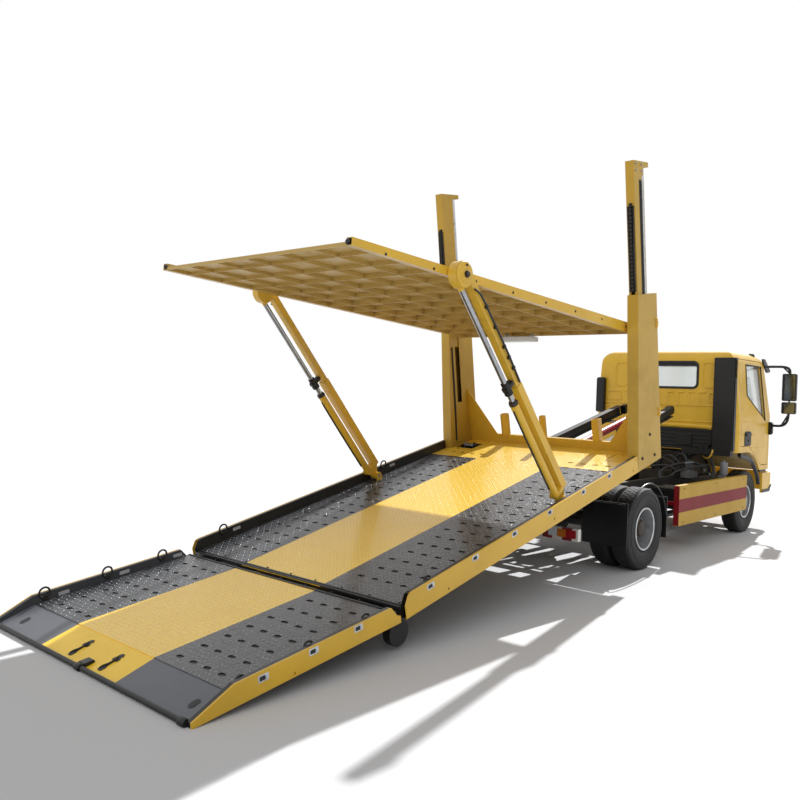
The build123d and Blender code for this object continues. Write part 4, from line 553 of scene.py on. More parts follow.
def add_outline(shape, place, outline, depth, edge=0.0):
    """A plate with that outline in x and z, from y 0 to y depth, its rims rounded by edge."""
    part = bmesh.new()
    front = [part.verts.new((x, 0, z)) for x, z in outline]
    back = [part.verts.new((x, depth, z)) for x, z in outline]
    part.faces.new(front)
    part.faces.new(back[::-1])
    for i in range(len(front)):
        j = (i + 1) % len(front)
        part.faces.new((front[j], front[i], back[i], back[j]))
    bmesh.ops.recalc_face_normals(part, faces=part.faces)
    if edge:
        bmesh.ops.bevel(part, geom=part.edges[:], offset=edge, segments=2, affect="EDGES", clamp_overlap=True)
    put_in(shape, part, place)


def add_block(shape, place, x, y, z, edge=0.004):
    """A block between pairs of x, y and z values, its edges rounded."""
    add_outline(shape, place @ at(0, y[0], 0), ((x[0], z[0]), (x[1], z[0]), (x[1], z[1]), (x[0], z[1])),
                y[1] - y[0], edge)


def add_turned(shape, place, profile, steps=24):
    """A turned piece about place's z axis; profile lists (radius, height), and radius 0 closes an end."""
    part = bmesh.new()
    rings = []
    for radius, height in profile:
        if radius == 0:
            rings.append([part.verts.new((0, 0, height))])
            continue
        rings.append([part.verts.new((radius * math.cos(a), radius * math.sin(a), height))
                      for a in (2 * math.pi * i / steps for i in range(steps))])
    for low, high in zip(rings, rings[1:]):
        for i in range(steps):
            j = (i + 1) % steps
            corners = [low[i % len(low)], low[j % len(low)], high[j % len(high)], high[i % len(high)]]
            corners = [v for k, v in enumerate(corners) if v not in corners[:k]]
            if len(corners) > 2:
                part.faces.new(corners)
    bmesh.ops.recalc_face_normals(part, faces=part.faces)
    put_in(shape, part, place)


def smooth_path(points, steps=6):
    """Points along a smooth curve through the given points."""
    path = [Vector(p) for p in points]
    ends = [path[0] * 2 - path[1]] + path + [path[-1] * 2 - path[-2]]
    line = []
    for a, b, c, d in zip(ends, ends[1:], ends[2:], ends[3:]):
        for i in range(steps):
            t = i / steps
            line.append(0.5 * (2 * b + (c - a) * t + (2 * a - 5 * b + 4 * c - d) * t * t
                               + (3 * b - a - 3 * c + d) * t * t * t))
    return line + [path[-1]]


def add_tube(shape, place, points, radius, sides=8, steps=6):
    """A round tube that follows a smooth line through the points, closed at its ends."""
    line = smooth_path(points, steps) if steps > 1 else [Vector(p) for p in points]
    part = bmesh.new()
    rings = []
    side = None
    for i, point in enumerate(line):
        ahead = (line[min(i + 1, len(line) - 1)] - line[max(i - 1, 0)]).normalized()
        if side is None:
            side = ahead.orthogonal().normalized()
        side = (side - ahead * side.dot(ahead)).normalized()
        other = ahead.cross(side)
        rings.append([part.verts.new(point + radius * (side * math.cos(a) + other * math.sin(a)))
                      for a in (2 * math.pi * k / sides for k in range(sides))])
    for low, high in zip(rings, rings[1:]):
        for k in range(sides):
            part.faces.new((low[k], low[(k + 1) % sides], high[(k + 1) % sides], high[k]))
    part.faces.new(rings[0][::-1])
    part.faces.new(rings[-1])
    bmesh.ops.recalc_face_normals(part, faces=part.faces)
    put_in(shape, part, place)


def add_ring(shape, place, radius, wire, turn=2 * math.pi, steps=20, sides=8):
    """A bent round bar: the whole ring, or the share of it that turn gives, standing in x and z."""
    line = [(radius * math.cos(turn * i / steps), 0, radius * math.sin(turn * i / steps))
            for i in range(steps + 1)]
    add_tube(shape, place, line, wire, sides, 1)


def add_bolt(shape, place, size, washer=1.6):
    """A hexagon head on its washer, standing along place's z axis."""
    add_turned(shape, place, ((0, 0), (size * washer, 0), (size * washer, size * 0.25), (0, size * 0.25)), 16)
    add_turned(shape, place, ((size * 1.1, size * 0.2), (size * 1.1, size * 0.85), (size * 0.9, size * 1.0),
                              (0, size * 1.0)), 6)


def put_in(shape, part, place):
    """Move a finished part to its place and join it to the mesh under work."""
    part.transform(place)
    held = bpy.data.meshes.new("held")
    part.to_mesh(held)
    part.free()
    shape.from_mesh(held)
    bpy.data.meshes.remove(held)


def facing(point, direction):
    """A place at point whose z axis looks along direction."""
    return Matrix.Translation(point) @ Vector(direction).to_track_quat("Z", "Y").to_matrix().to_4x4()


def fit(shape, name, material, body, smooth=35.0):
    """Turn the mesh under work into a piece of the truck that moves with body."""
    mesh = bpy.data.meshes.new(name)
    bmesh.ops.recalc_face_normals(shape, faces=shape.faces)
    shape.to_mesh(mesh)
    shape.free()
    piece = bpy.data.objects.new(name, mesh)
    bpy.context.scene.collection.objects.link(piece)
    mesh.materials.append(finish(material))
    mesh.shade_smooth()
    mesh.set_sharp_from_angle(angle=math.radians(smooth))
    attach(piece, body)
    return piece


def fit_one(name, material, body, add, *form):
    """A piece of the truck that one shape function makes."""
    shape = bmesh.new()
    add(shape, *form)
    return fit(shape, name, material, body)


NODE_FINISHES = {
    "yellow polyurethane enamel": ("cab_roof", "cab_rear_panel", "cab_front_panel", "cab_side_frames",
                                   "door_left", "door_right", "front_wall", "deck_brackets",
                                   "front_bumper", "strut_barrels"),
    "dusty yellow enamel": ("column_left", "column_right", "mast_left", "mast_right"),
    "weathered yellow enamel": ("upper_deck_plate", "cab_floor"),
    "upper deck enamel": ("upper_deck_frame",),
    "strut enamel and chrome": ("strut_rods",),
    "rail enamel, yellow outside and black inside": ("lower_deck_frame",),
    "ramp tip enamel": ("tail_ramp_frame",),
    "tread plate of the deck": ("lower_deck_plate",),
    "tread plate of the ramp": ("tail_ramp_plate",),
    "guard enamel with a red band": ("side_guards",),
    "red and white reflective tape": ("underrun_bar",),
    "black chassis enamel": ("chassis_frame", "subframe", "front_axle", "rear_axle", "propeller_shaft",
                             "leaf_springs", "fuel_tank", "tilt_frame", "tilt_cylinders", "knuckle_left",
                             "knuckle_right", "lift_cylinders"),
    "black moulded polypropylene": ("mudguards", "air_intake_duct", "dashboard", "steering_wheel", "mirrors"),
    "tyre rubber": ("front_tyre_left", "front_tyre_right", "rear_tyres_left", "rear_tyres_right",
                    "hinge_rollers"),
    "rim silver lacquer": ("front_rim_left", "front_rim_right", "rear_rims_left", "rear_rims_right"),
    "hard chromed rod": ("lift_rods", "slide_rod", "tilt_rods"),
    "cast iron with oil": ("engine",),
    "red cylinder enamel": ("slide_cylinder",),
    "window glass": ("cab_glass", "door_glass_left", "door_glass_right"),
    "tinted acrylic": ("sun_visor",),
    "seat polyester": ("seats",),
}


class TRUCK_OT_finishes(bpy.types.Operator):
    """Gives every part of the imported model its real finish"""
    bl_idname = "truck.finishes"
    bl_label = "Finishes of the frame"

    def execute(self, context):
        done = set()
        for material, names in NODE_FINISHES.items():
            for name in names:
                mesh = nodes[name].data
                mesh.materials.clear()
                mesh.materials.append(finish(material))
                done.add(name)
        left = set(nodes) - done
        if left:
            raise RuntimeError(f"no finish for {sorted(left)}")
        return {"FINISHED"}


# Fittings of the decks


def rounded_outline(low, high, radius, steps=4):
    """A rectangle between two corners with rounded corners of its own."""
    points = []
    middles = ((high[0] - radius, high[1] - radius), (low[0] + radius, high[1] - radius),
               (low[0] + radius, low[1] + radius), (high[0] - radius, low[1] + radius))
    for corner, (x, z) in enumerate(middles):
        for i in range(steps + 1):
            turn = math.pi / 2 * (corner + i / steps)
            points.append((x + radius * math.cos(turn), z + radius * math.sin(turn)))
    return points


def rounded(half_x, half_z, radius, steps=4):
    """A rounded rectangle about its middle."""
    return rounded_outline((-half_x, -half_z), (half_x, half_z), radius, steps)


def add_loop(shape, place, outline, radius, y=0.0, sides=6):
    """A round bar bent along a closed outline in x and z."""
    add_tube(shape, place, [(x, y, z) for x, z in outline + outline[:2]], radius, sides, 1)


RING_PLACES = ((deck, -3.585, 0.154, "lower_deck"), (deck, -1.563, 0.154, "lower_deck"),
               (ramp, -1.224, 0.112, "tail_ramp"), (ramp, -0.749, 0.121, "tail_ramp"),
               (ramp, -0.284, 0.121, "tail_ramp"))
RAIL_SLOTS = ((deck, "lower_deck", ((-3.615, 0.119), (-3.114, 0.126), (-2.614, 0.128), (-2.104, 0.128),
                                    (-1.558, 0.128), (-1.082, 0.128))),
              (ramp, "tail_ramp", ((-1.115, 0.082), (-0.757, 0.092), (-0.400, 0.098))))


def lashing_ring(place, s, n, side, body, name):
    """Bent ring in its welded eye on the inner wall of a rail."""
    inner = (deck_half - rail_width) * side
    shape = bmesh.new()
    ring_place = place @ at(s, inner - 0.010 * side, n + 0.012)
    add_ring(shape, ring_place @ turned("X", 8 * side), sizes().ring_radius, sizes().ring_wire)
    add_block(shape, place @ at(s, inner - 0.006 * side, n - 0.030), (-0.020, 0.020), (-0.007, 0.007),
              (-0.012, 0.016), 0.003)
    fit(shape, name, "black chassis enamel", body)


def slot_liner(place, s, n, side, body, name):
    """Galvanised strap pocket let into a rail's outer wall."""
    outer = deck_half * side
    shape = bmesh.new()
    face = place @ at(s, outer - 0.001 * side, n)
    add_outline(shape, face, rounded(0.036, 0.020, 0.006), 0.003 * side, 0.0008)
    handle = [(s + 0.012, outer + 0.002 * side, n - 0.016), (s + 0.016, outer + 0.008 * side, n),
              (s + 0.012, outer + 0.002 * side, n + 0.016)]
    add_tube(shape, place, handle, 0.0030, 6, 4)
    fit(shape, name, "bright zinc", body)
    # The black mouth is painted shade for the dark opening of the strap pocket.
    fit_one(name + "_mouth", "black nylon", body, add_outline, face @ at(-0.008, 0, 0),
            rounded(0.019, 0.012, 0.005), 0.0042 * side, 0.0006)


def reflector(place, s, n, side, body, name):
    """Round-cornered silver reflector on a rail's inner wall, in a dark frame."""
    inner = (deck_half - rail_width) * side
    base = place @ at(s, inner - (0.004 if side > 0 else 0), n)
    fit_one(name, "silver reflector", body, add_outline, base, rounded(0.040, 0.013, 0.006), 0.004, 0.001)


class TRUCK_OT_rail_fittings(bpy.types.Operator):
    """Adds the lashing rings, strap pockets and reflectors of the deck rails"""
    bl_idname = "truck.rail_fittings"
    bl_label = "Rings and pockets on the rails"

    def execute(self, context):
        for side, word in SIDES:
            for index, (place, s, n, body) in enumerate(RING_PLACES):
                lashing_ring(place, s, n if side > 0 else n - 0.040, side, body,
                             f"lashing_ring_{word}_{index + 1}")
                reflector(place, s + 0.140, n - 0.034, side, body, f"reflector_{word}_{index + 1}")
            for place, body, slots in RAIL_SLOTS:
                for index, (s, n) in enumerate(slots):
                    slot_liner(place, s, n, side, body, f"strap_pocket_{body}_{word}_{index + 1}")
        return {"FINISHED"}


TAIL_S = -1.562


def tail_bar():
    """Black round bar along the ramp's tip, with its end lugs and centre lug."""
    shape = bmesh.new()
    radius, end = 0.015, 1.112
    line = ramp @ at(TAIL_S - 0.004, 0, 0.020)
    add_tube(shape, line, [(0, -end, 0), (0, end, 0)], radius, 12, 1)
    for y in (-end + 0.015, end - 0.015, -0.040):
        profile = ((0, 0), (0.021, 0), (0.023, 0.004), (0.023, 0.052), (0.021, 0.056), (0, 0.056))
        add_turned(shape, line @ at(0, y - 0.028, 0) @ turned("X", -90), profile, 16)
    add_block(shape, ramp @ at(TAIL_S + 0.030, -0.040, 0.030), (-0.020, 0.050), (-0.035, 0.035),
              (-0.008, 0.010))
    fit(shape, "ramp_tail_bar", "black moulded polypropylene", "tail_ramp")


def on_tip(s, y):
    """A place on the ramp's sloping smooth plate: z runs across the ramp and y up from the plate."""
    rise = math.atan(0.050 / 0.268)
    n = 0.0105 + (s + 1.562) * math.tan(rise)
    return ramp @ at(s, y, n) @ Matrix.Rotation(-rise, 4, "Y") @ turned("X", 90)


def corner_eye(y, name):
    """Oval lashing eye let into the smooth plate, with a raised steel rim and a dark pocket, whose near-black
    plate is painted shade in the eye's recess.
    """
    shape = bmesh.new()
    lie = on_tip(-1.440, y)
    outline = rounded(0.034, 0.020, 0.0195, 6)
    # The pocket's near-black plate is painted shade in the eye's recess.
    add_outline(shape, lie, outline, 0.004, 0.0005)
    fit(shape, name + "_pocket", "hose rubber", "tail_ramp")
    fit_one(name + "_rim", "dark smooth steel paint", "tail_ramp", add_loop, lie, outline, 0.0035, 0.0)


def ramp_latch(y, name):
    """Cut-out in the smooth plate with the latch hook and its bolt seen inside."""
    lie = on_tip(-1.436, y)
    shape = bmesh.new()
    # The cut-out: a wide mouth ahead of a narrow throat, with two horns.
    half = ((0.082, 0.010), (0.062, 0.024), (0.052, 0.014), (0.040, 0.030), (0.018, 0.030), (0.012, 0.012),
            (-0.030, 0.012), (-0.052, 0.024), (-0.080, 0.020), (-0.086, 0.006))
    outline = list(half) + [(x, -z) for x, z in reversed(half)]
    # The black plate in the cut-out's outline is painted shade for the dark inside of the cut-out.
    add_outline(shape, lie, outline, 0.0025)
    fit(shape, name + "_cutout", "black nylon", "tail_ramp")
    hook = bmesh.new()
    run = [(-0.070, 0.004, -0.014), (-0.045, 0.006, -0.010), (-0.020, 0.007, 0.004), (0.020, 0.007, 0.006),
           (0.050, 0.006, -0.008)]
    add_tube(hook, lie, run, 0.005, 8)
    add_bolt(hook, lie @ at(0.030, 0.002, 0) @ turned("X", -90), 0.009)
    fit(hook, name + "_hook", "cast iron with oil", "tail_ramp")


def hinge_strips():
    """Black cover strips on both sides of the hinge, with a row of bolts beside them."""
    half = deck_half - rail_depth
    for place, body, name, runs in ((deck, "lower_deck", "deck", (-3.842, -3.866)),
                                    (ramp, "tail_ramp", "ramp", (-0.040,))):
        shape = bmesh.new()
        for s in runs:
            add_block(shape, place @ at(s, 0, plate_top), (-0.009, 0.009), (-half, half), (-0.002, 0.005),
                      0.002)
        for index in range(9):
            y = -half + 0.06 + (2 * half - 0.12) * index / 8
            add_bolt(shape, place @ at(runs[0] + 0.022, y, plate_top), 0.006, 1.3)
        fit(shape, f"hinge_strip_{name}", "black moulded polypropylene", body)


def cable_roller():
    """Galvanised guide roller with its forks in the opening near the front wall."""
    shape = bmesh.new()
    roller = deck @ at(-0.300, 0.880, 0.052) @ turned("X", -90)
    profile = ((0, 0), (0.040, 0), (0.040, 0.008), (0.024, 0.014), (0.022, 0.060), (0.024, 0.106),
               (0.040, 0.112), (0.040, 0.120), (0, 0.120))
    add_turned(shape, roller, profile, 24)
    fit(shape, "cable_roller", "galvanised steel", "lower_deck")
    fork = bmesh.new()
    for y in (0.868, 1.004):
        add_block(fork, deck @ at(-0.300, y, 0.050), (-0.030, 0.030), (0, 0.008), (-0.046, 0.012), 0.003)
    run = [(-0.43, 1.02, 0.030), (-0.38, 0.98, 0.040), (-0.33, 0.94, 0.018), (-0.27, 0.90, 0.020),
           (-0.25, 0.84, 0.034)]
    add_tube(fork, deck, run, 0.010)
    fit(fork, "cable_roller_fork", "black chassis enamel", "lower_deck")
    rim = bmesh.new()
    lie = deck @ at(0, 0, plate_top) @ turned("X", 90)
    add_loop(rim, lie, rounded_outline((-0.455, 0.800), (-0.240, 1.045), 0.004), 0.005)
    for x, y in ((-0.50, 0.80), (-0.50, 0.88), (-0.50, 0.96), (-0.50, 1.04)):
        add_bolt(rim, deck @ at(x, y, plate_top), 0.009)
    fit(rim, "winch_opening_rim", "yellow polyurethane enamel", "lower_deck")
    # The black well under the winch opening is painted shade: it keeps the opening dark where the shade
    # inside it would be.
    well = bmesh.new()
    add_block(well, deck, (-0.452, -0.243), (0.803, 1.042), (0.004, 0.008), 0.001)
    for x in (-0.452, -0.247):
        add_block(well, deck, (x, x + 0.004), (0.803, 1.042), (0.004, plate_top - 0.004), 0.001)
    fit(well, "winch_opening_well", "hose rubber", "lower_deck")


def hole_shade_sheet():
    """Black sheet under the tread plates: painted shade, so that their holes show dark."""
    half = deck_half - rail_depth
    for place, body, name, s in ((deck, "lower_deck", "deck", (-3.840, -0.520)),
                                 (ramp, "tail_ramp", "ramp", (-1.285, -0.070))):
        shape = bmesh.new()
        for y in ((-half, -0.44), (0.48, half)):
            add_block(shape, place, s, y, (0.0550, 0.0585), 0.0008)
        fit(shape, f"lane_backing_{name}", "black chassis enamel", body)


class TRUCK_OT_ramp_fittings(bpy.types.Operator):
    """Adds the tail bar, lashing eyes, latches, hinge strips and cable roller"""
    bl_idname = "truck.ramp_fittings"
    bl_label = "Fittings of ramp and hinge"

    def execute(self, context):
        tail_bar()
        for y, word in ((0.944, "left"), (-1.009, "right")):
            corner_eye(y, "corner_eye_" + word)
        for y, word in ((0.175, "left"), (-0.180, "right")):
            ramp_latch(y, "ramp_latch_" + word)
        hinge_strips()
        hole_shade_sheet()
        cable_roller()
        return {"FINISHED"}


# Masts, columns, upper deck and struts

mast_y = (deck_half - 0.096, deck_half - 0.011)
column_y = (deck_half - 0.109, deck_half)


def mast_lines(side, word):
    """Drag chain, hoses and bright pipe that run down each mast."""
    chain = bmesh.new()
    chain_y = (mast_y[0] + 0.042) * side
    for index in range(22):
        n = 1.645 + 0.0365 * index
        grow = 0.002 * (index % 2)
        add_block(chain, column @ at(mast_rear - 0.004, chain_y, n), (-0.012 - grow, 0.014),
                  (-0.013 - grow, 0.013 + grow), (0, 0.031), 0.004)
    fit(chain, "drag_chain_" + word, "black nylon", "masts")
    hoses = bmesh.new()
    for offset, wave in ((-0.026, 0.004), (0.026, -0.005)):
        line = [(mast_rear - 0.006 + wave * math.sin(n * 7), chain_y + offset * side, 1.64 + 0.13 * n)
                for n in range(7)]
        add_tube(hoses, column, line, sizes().hose * 0.8)
    slot_x = mast_rear + 0.1235
    for index, offset in enumerate((-0.017, 0.0, 0.017)):
        y = (mast_y[1] + (0.002 if index % 2 else -0.004)) * side
        line = [(slot_x + offset, y, 1.46), (slot_x + offset, y, 2.0), (slot_x + offset, y, 2.645)]
        add_tube(hoses, column, line, 0.0075, 8, 2)
    fit(hoses, "mast_hoses_" + word, "hose rubber", "masts")
    # The black strip is painted shade for the dark opening of the slot in the mast's outer wall.
    slot = bmesh.new()
    outer = mast_y[1] * side
    add_block(slot, column, (slot_x - 0.030, slot_x + 0.022), sorted((outer, outer + 0.002 * side)),
              (1.45, 2.66), 0.0008)
    fit(slot, "mast_slot_" + word, "black nylon", "masts")
    fit_one("mast_guide_rod_" + word, "bright zinc", "masts", add_tube, column,
            [(slot_x + 0.036, outer + 0.0015 * side, 1.45), (slot_x + 0.036, outer + 0.0015 * side, 2.70)],
            0.0075, 10, 1)
    pipe = bmesh.new()
    front = mast_front + 0.012
    bends = [(front, (mast_y[0] + 0.02) * side, 1.40), (front, (mast_y[0] + 0.02) * side, 2.77)]
    add_tube(pipe, column, bends, 0.009, 10, 1)
    for n in (1.7, 2.1, 2.5):
        add_block(pipe, column @ at(mast_front, (mast_y[0] + 0.02) * side, n), (0, 0.024), (-0.012, 0.012),
                  (0, 0.020), 0.002)
    fit(pipe, "mast_pipe_" + word, "black chassis enamel", "masts")
    bolts = bmesh.new()
    for n in (2.74, 2.80):
        for x in (mast_rear + 0.035, mast_rear + 0.155):
            add_bolt(bolts, column @ at(x, mast_y[1] * side, n) @ turned("X", -90 * side), 0.008)
    fit(bolts, "mast_bolts_" + word, "galvanised steel", "masts")


def column_fittings(side, word):
    """Hook brackets, bolts and hoses of a column."""
    outer = column_y[1] * side
    shape = bmesh.new()
    for s, n in ((0.000, 1.329), (0.000, 0.466)):
        for step in (-0.030, 0.030):
            add_block(shape, column @ at(s - 0.030, outer + 0.004 * side, n + step), (-0.016, 0.016),
                      (-0.012, 0.012), (-0.006, 0.006), 0.002)
        hook = [(s - 0.034, outer + 0.010 * side, n - 0.045), (s - 0.026, outer + 0.014 * side, n),
                (s - 0.034, outer + 0.010 * side, n + 0.045)]
        add_tube(shape, column, hook, 0.007, 8, 4)
    fit(shape, "column_hooks_" + word, "yellow polyurethane enamel", "lower_deck")
    eye = bmesh.new()
    for s, n in ((-0.243, 0.277), (-0.150, 0.060), (-0.420, 0.075)):
        add_bolt(eye, column @ at(s, outer, n) @ turned("X", -90 * side), 0.011)
    fit(eye, "column_bolts_" + word, "cast iron with oil", "lower_deck")
    inner = (column_y[0] + 0.012) * side
    hoses = bmesh.new()
    for offset in (0.0, 0.022):
        line = [(-0.405, inner - 0.020 * side, 0.10), (-0.398 + offset * 0.3, inner - 0.020 * side, 0.55),
                (-0.395, inner - 0.020 * side, 1.15)]
        add_tube(hoses, column, line, sizes().hose * 0.8, 8, 4)
    fit(hoses, "column_hoses_" + word, "hose rubber", "lower_deck")


class TRUCK_OT_masts(bpy.types.Operator):
    """Adds the drag chains, hoses, pipes and bolts of masts and columns"""
    bl_idname = "truck.masts"
    bl_label = "Fittings of masts and columns"

    def execute(self, context):
        for side, word in SIDES:
            mast_lines(side, word)
            column_fittings(side, word)
        return {"FINISHED"}


strut_y = deck_half - 0.099
strut_rod_x = -0.055


def strut_head_plate(side, word):
    """Half-moon cheek with its boss, bolt and hanging lip at the head of a strut."""
    outer = (strut_y + 0.036) * side
    shape = bmesh.new()
    flat = strut @ at(0, outer, strut_length) @ turned("X", -90 * side)
    profile = ((0, -0.002), (0.088, -0.002), (0.092, 0.002), (0.088, 0.007), (0.060, 0.009), (0.055, 0.016),
               (0.030, 0.018), (0, 0.018))
    add_turned(shape, flat, profile, 32)
    fit(shape, "strut_cheek_" + word, "yellow polyurethane enamel", "strut_rods")
    boss = bmesh.new()
    add_bolt(boss, flat @ at(0, 0, 0.017), 0.020, 1.25)
    add_bolt(boss, flat @ at(0.052, 0.040, 0.005), 0.010, 1.3)
    fit(boss, "strut_bolt_" + word, "cast iron with oil", "strut_rods")


def strut_lines(side, word):
    """Hose, clips and glands beside the chrome rod."""
    outer = (strut_y + 0.034) * side
    hose = bmesh.new()
    run = [(0.070, outer + 0.004 * side, 1.22), (0.074, outer + 0.009 * side, 1.50),
           (0.070, outer + 0.008 * side, 1.80), (0.062, outer + 0.010 * side, 2.02),
           (0.030, outer + 0.006 * side, 2.10)]
    add_tube(hose, strut, run, sizes().hose * 0.75)
    run = [(-0.094, strut_y * side, 0.22), (-0.097, strut_y * side, 0.60), (-0.094, strut_y * side, 1.00),
           (-0.080, strut_y * side, 1.07)]
    add_tube(hose, strut, run, sizes().hose * 0.7)
    fit(hose, "strut_hose_" + word, "hose rubber", "strut_rods")
    clips = bmesh.new()
    for z in (1.36, 1.46, 1.56, 1.74, 1.92):
        add_block(clips, strut @ at(0.071, outer - 0.004 * side, z), (-0.017, 0.017),
                  (-0.004, 0.016) if side > 0 else (-0.016, 0.004), (-0.011, 0.011), 0.003)
    fit(clips, "strut_clips_" + word, "black nylon", "strut_rods")
    clamp = bmesh.new()
    base = strut @ at(0, strut_y * side, 1.262)
    add_block(clamp, base, (-0.090, 0.022), (-0.026, 0.026), (-0.020, 0.020), 0.006)
    profile = ((0.0245, 0), (0.034, 0.0), (0.034, 0.030), (0.030, 0.036), (0.030, 0.105), (0.0245, 0.105))
    add_turned(clamp, base @ at(strut_rod_x, 0, -0.055), profile, 20)
    fit(clamp, "strut_clamp_" + word, "black chassis enamel", "strut_barrels")
    profile = ((0.0235, 0), (0.037, 0), (0.037, 0.016), (0.031, 0.020), (0.031, 0.030), (0.0235, 0.032))
    fit_one("strut_gland_" + word, "cast iron with oil", "strut_barrels", add_turned,
            strut @ at(strut_rod_x, strut_y * side, 1.104), profile, 24)


def strut_foot_bolt(side, word):
    """Bolt heads on both faces of a strut's foot."""
    shape = bmesh.new()
    for face in (1, -1):
        y = strut_y * side + 0.0395 * face
        add_bolt(shape, strut @ at(0, y, 0) @ turned("X", -90 * face), 0.015)
    fit(shape, "strut_foot_bolts_" + word, "galvanised steel", "strut_barrels")


class TRUCK_OT_struts(bpy.types.Operator):
    """Adds the cheeks, hoses, clamps and bolts of the struts"""
    bl_idname = "truck.struts"
    bl_label = "Fittings of the struts"

    def execute(self, context):
        for side, word in SIDES:
            strut_head_plate(side, word)
            strut_lines(side, word)
            strut_foot_bolt(side, word)
        return {"FINISHED"}


def upper_lamp(y, word):
    """Pale work lamp on its bracket under the front edge of the upper deck."""
    shape = bmesh.new()
    base = upper @ at(-0.06, y, -0.080)
    add_block(shape, base, (-0.050, 0.050), (-0.210, 0.210), (-0.034, 0.018), 0.008)
    fit(shape, "work_lamp_" + word, "clear lamp lens", "upper_deck")
    bracket = bmesh.new()
    for step in (-0.15, 0.15):
        add_block(bracket, base @ at(0, step, 0.020), (-0.016, 0.016), (-0.006, 0.006), (0, 0.036), 0.002)
    fit(bracket, "work_lamp_bracket_" + word, "galvanised steel", "upper_deck")


class TRUCK_OT_upper_deck(bpy.types.Operator):
    """Adds the work lamp, corner stops and rail plugs of the upper deck"""
    bl_idname = "truck.upper_deck"
    bl_label = "Fittings of the upper deck"

    def execute(self, context):
        upper_lamp(0.18, "front")
        for side, word in SIDES:
            profile = ((0, 0), (0.014, 0), (0.019, 0.006), (0.019, 0.020), (0.012, 0.028), (0, 0.030))
            fit_one("corner_stop_" + word, "black nylon", "upper_deck", add_turned,
                    upper @ at(-3.735, 0.985 * side, 0.030) @ turned("Y", -90), profile, 16)
            edge = bmesh.new()
            for index in range(8):
                x = -3.45 + 0.48 * index
                y = 1.0205 * side
                profile = ((0, 0), (0.010, 0), (0.010, 0.003), (0.006, 0.005), (0, 0.005))
                add_turned(edge, upper @ at(x, y, 0.010) @ turned("X", -90 * side), profile, 12)
            fit(edge, "upper_rail_plugs_" + word, "black nylon", "upper_deck")
        return {"FINISHED"}


# Wheels

tyre_radius = 0.403
tyre_width = 0.205
bead_radius = 0.2033
front_wheel_y = 0.8475
outer_wheel_y = 0.9695
inner_wheel_y = 0.7345
# How far the wheel disc stands from the wheel's middle, outward
front_dish = 0.020
rear_dish = -0.066
nut_circle = 0.111
wheel_nuts = 6


def tread_ribs(axle, y, side, name, body):
    """Moulded blocks round a tyre's crown, and rings on its outer wall."""
    count = sizes().tread_blocks
    shape = bmesh.new()
    block_share = 0.80
    rib_table = ((-0.052, 0.0), (-0.018, 0.5), (0.018, 0.0), (0.052, 0.5))
    for rib, shift in rib_table:
        for index in range(count):
            turn = 2 * math.pi * (index + shift) / count
            place = at(axle.x, y + rib, axle.z) @ Matrix.Rotation(turn, 4, "Y") @ at(0, 0, tyre_radius)
            half = math.pi * tyre_radius / count * block_share
            skew = 0.006
            corners = [(-half, -0.0145), (half, -0.0145 + skew), (half, 0.0145 + skew), (-half, 0.0145)]
            low = [shape.verts.new(place @ Vector((a, b, -0.003))) for a, b in corners]
            top = [shape.verts.new(place @ Vector((a * 0.94, b * 0.94, 0.0025))) for a, b in corners]
            shape.faces.new(top)
            for k in range(4):
                shape.faces.new((low[k], low[(k + 1) % 4], top[(k + 1) % 4], top[k]))
    fit(shape, name + "_tread", "tyre rubber", body)
    wall = bmesh.new()
    outward = at(axle.x, y, axle.z) @ turned("X", -90 * side)
    # Where the side wall stands, as shares of its height and of the half width
    for height_share, width_share, wire in ((0.12, 0.755, 0.0040), (0.30, 0.915, 0.0022),
                                            (0.46, 0.980, 0.0022), (0.66, 0.985, 0.0030),
                                            (0.72, 0.978, 0.0022)):
        r = bead_radius + (tyre_radius - bead_radius) * height_share
        z = tyre_width / 2 * width_share
        line = [(r * math.cos(2 * math.pi * i / 72), r * math.sin(2 * math.pi * i / 72), z)
                for i in range(74)]
        add_tube(wall, outward, line, wire, 6, 1)
    fit(wall, name + "_rings", "tyre rubber", body)


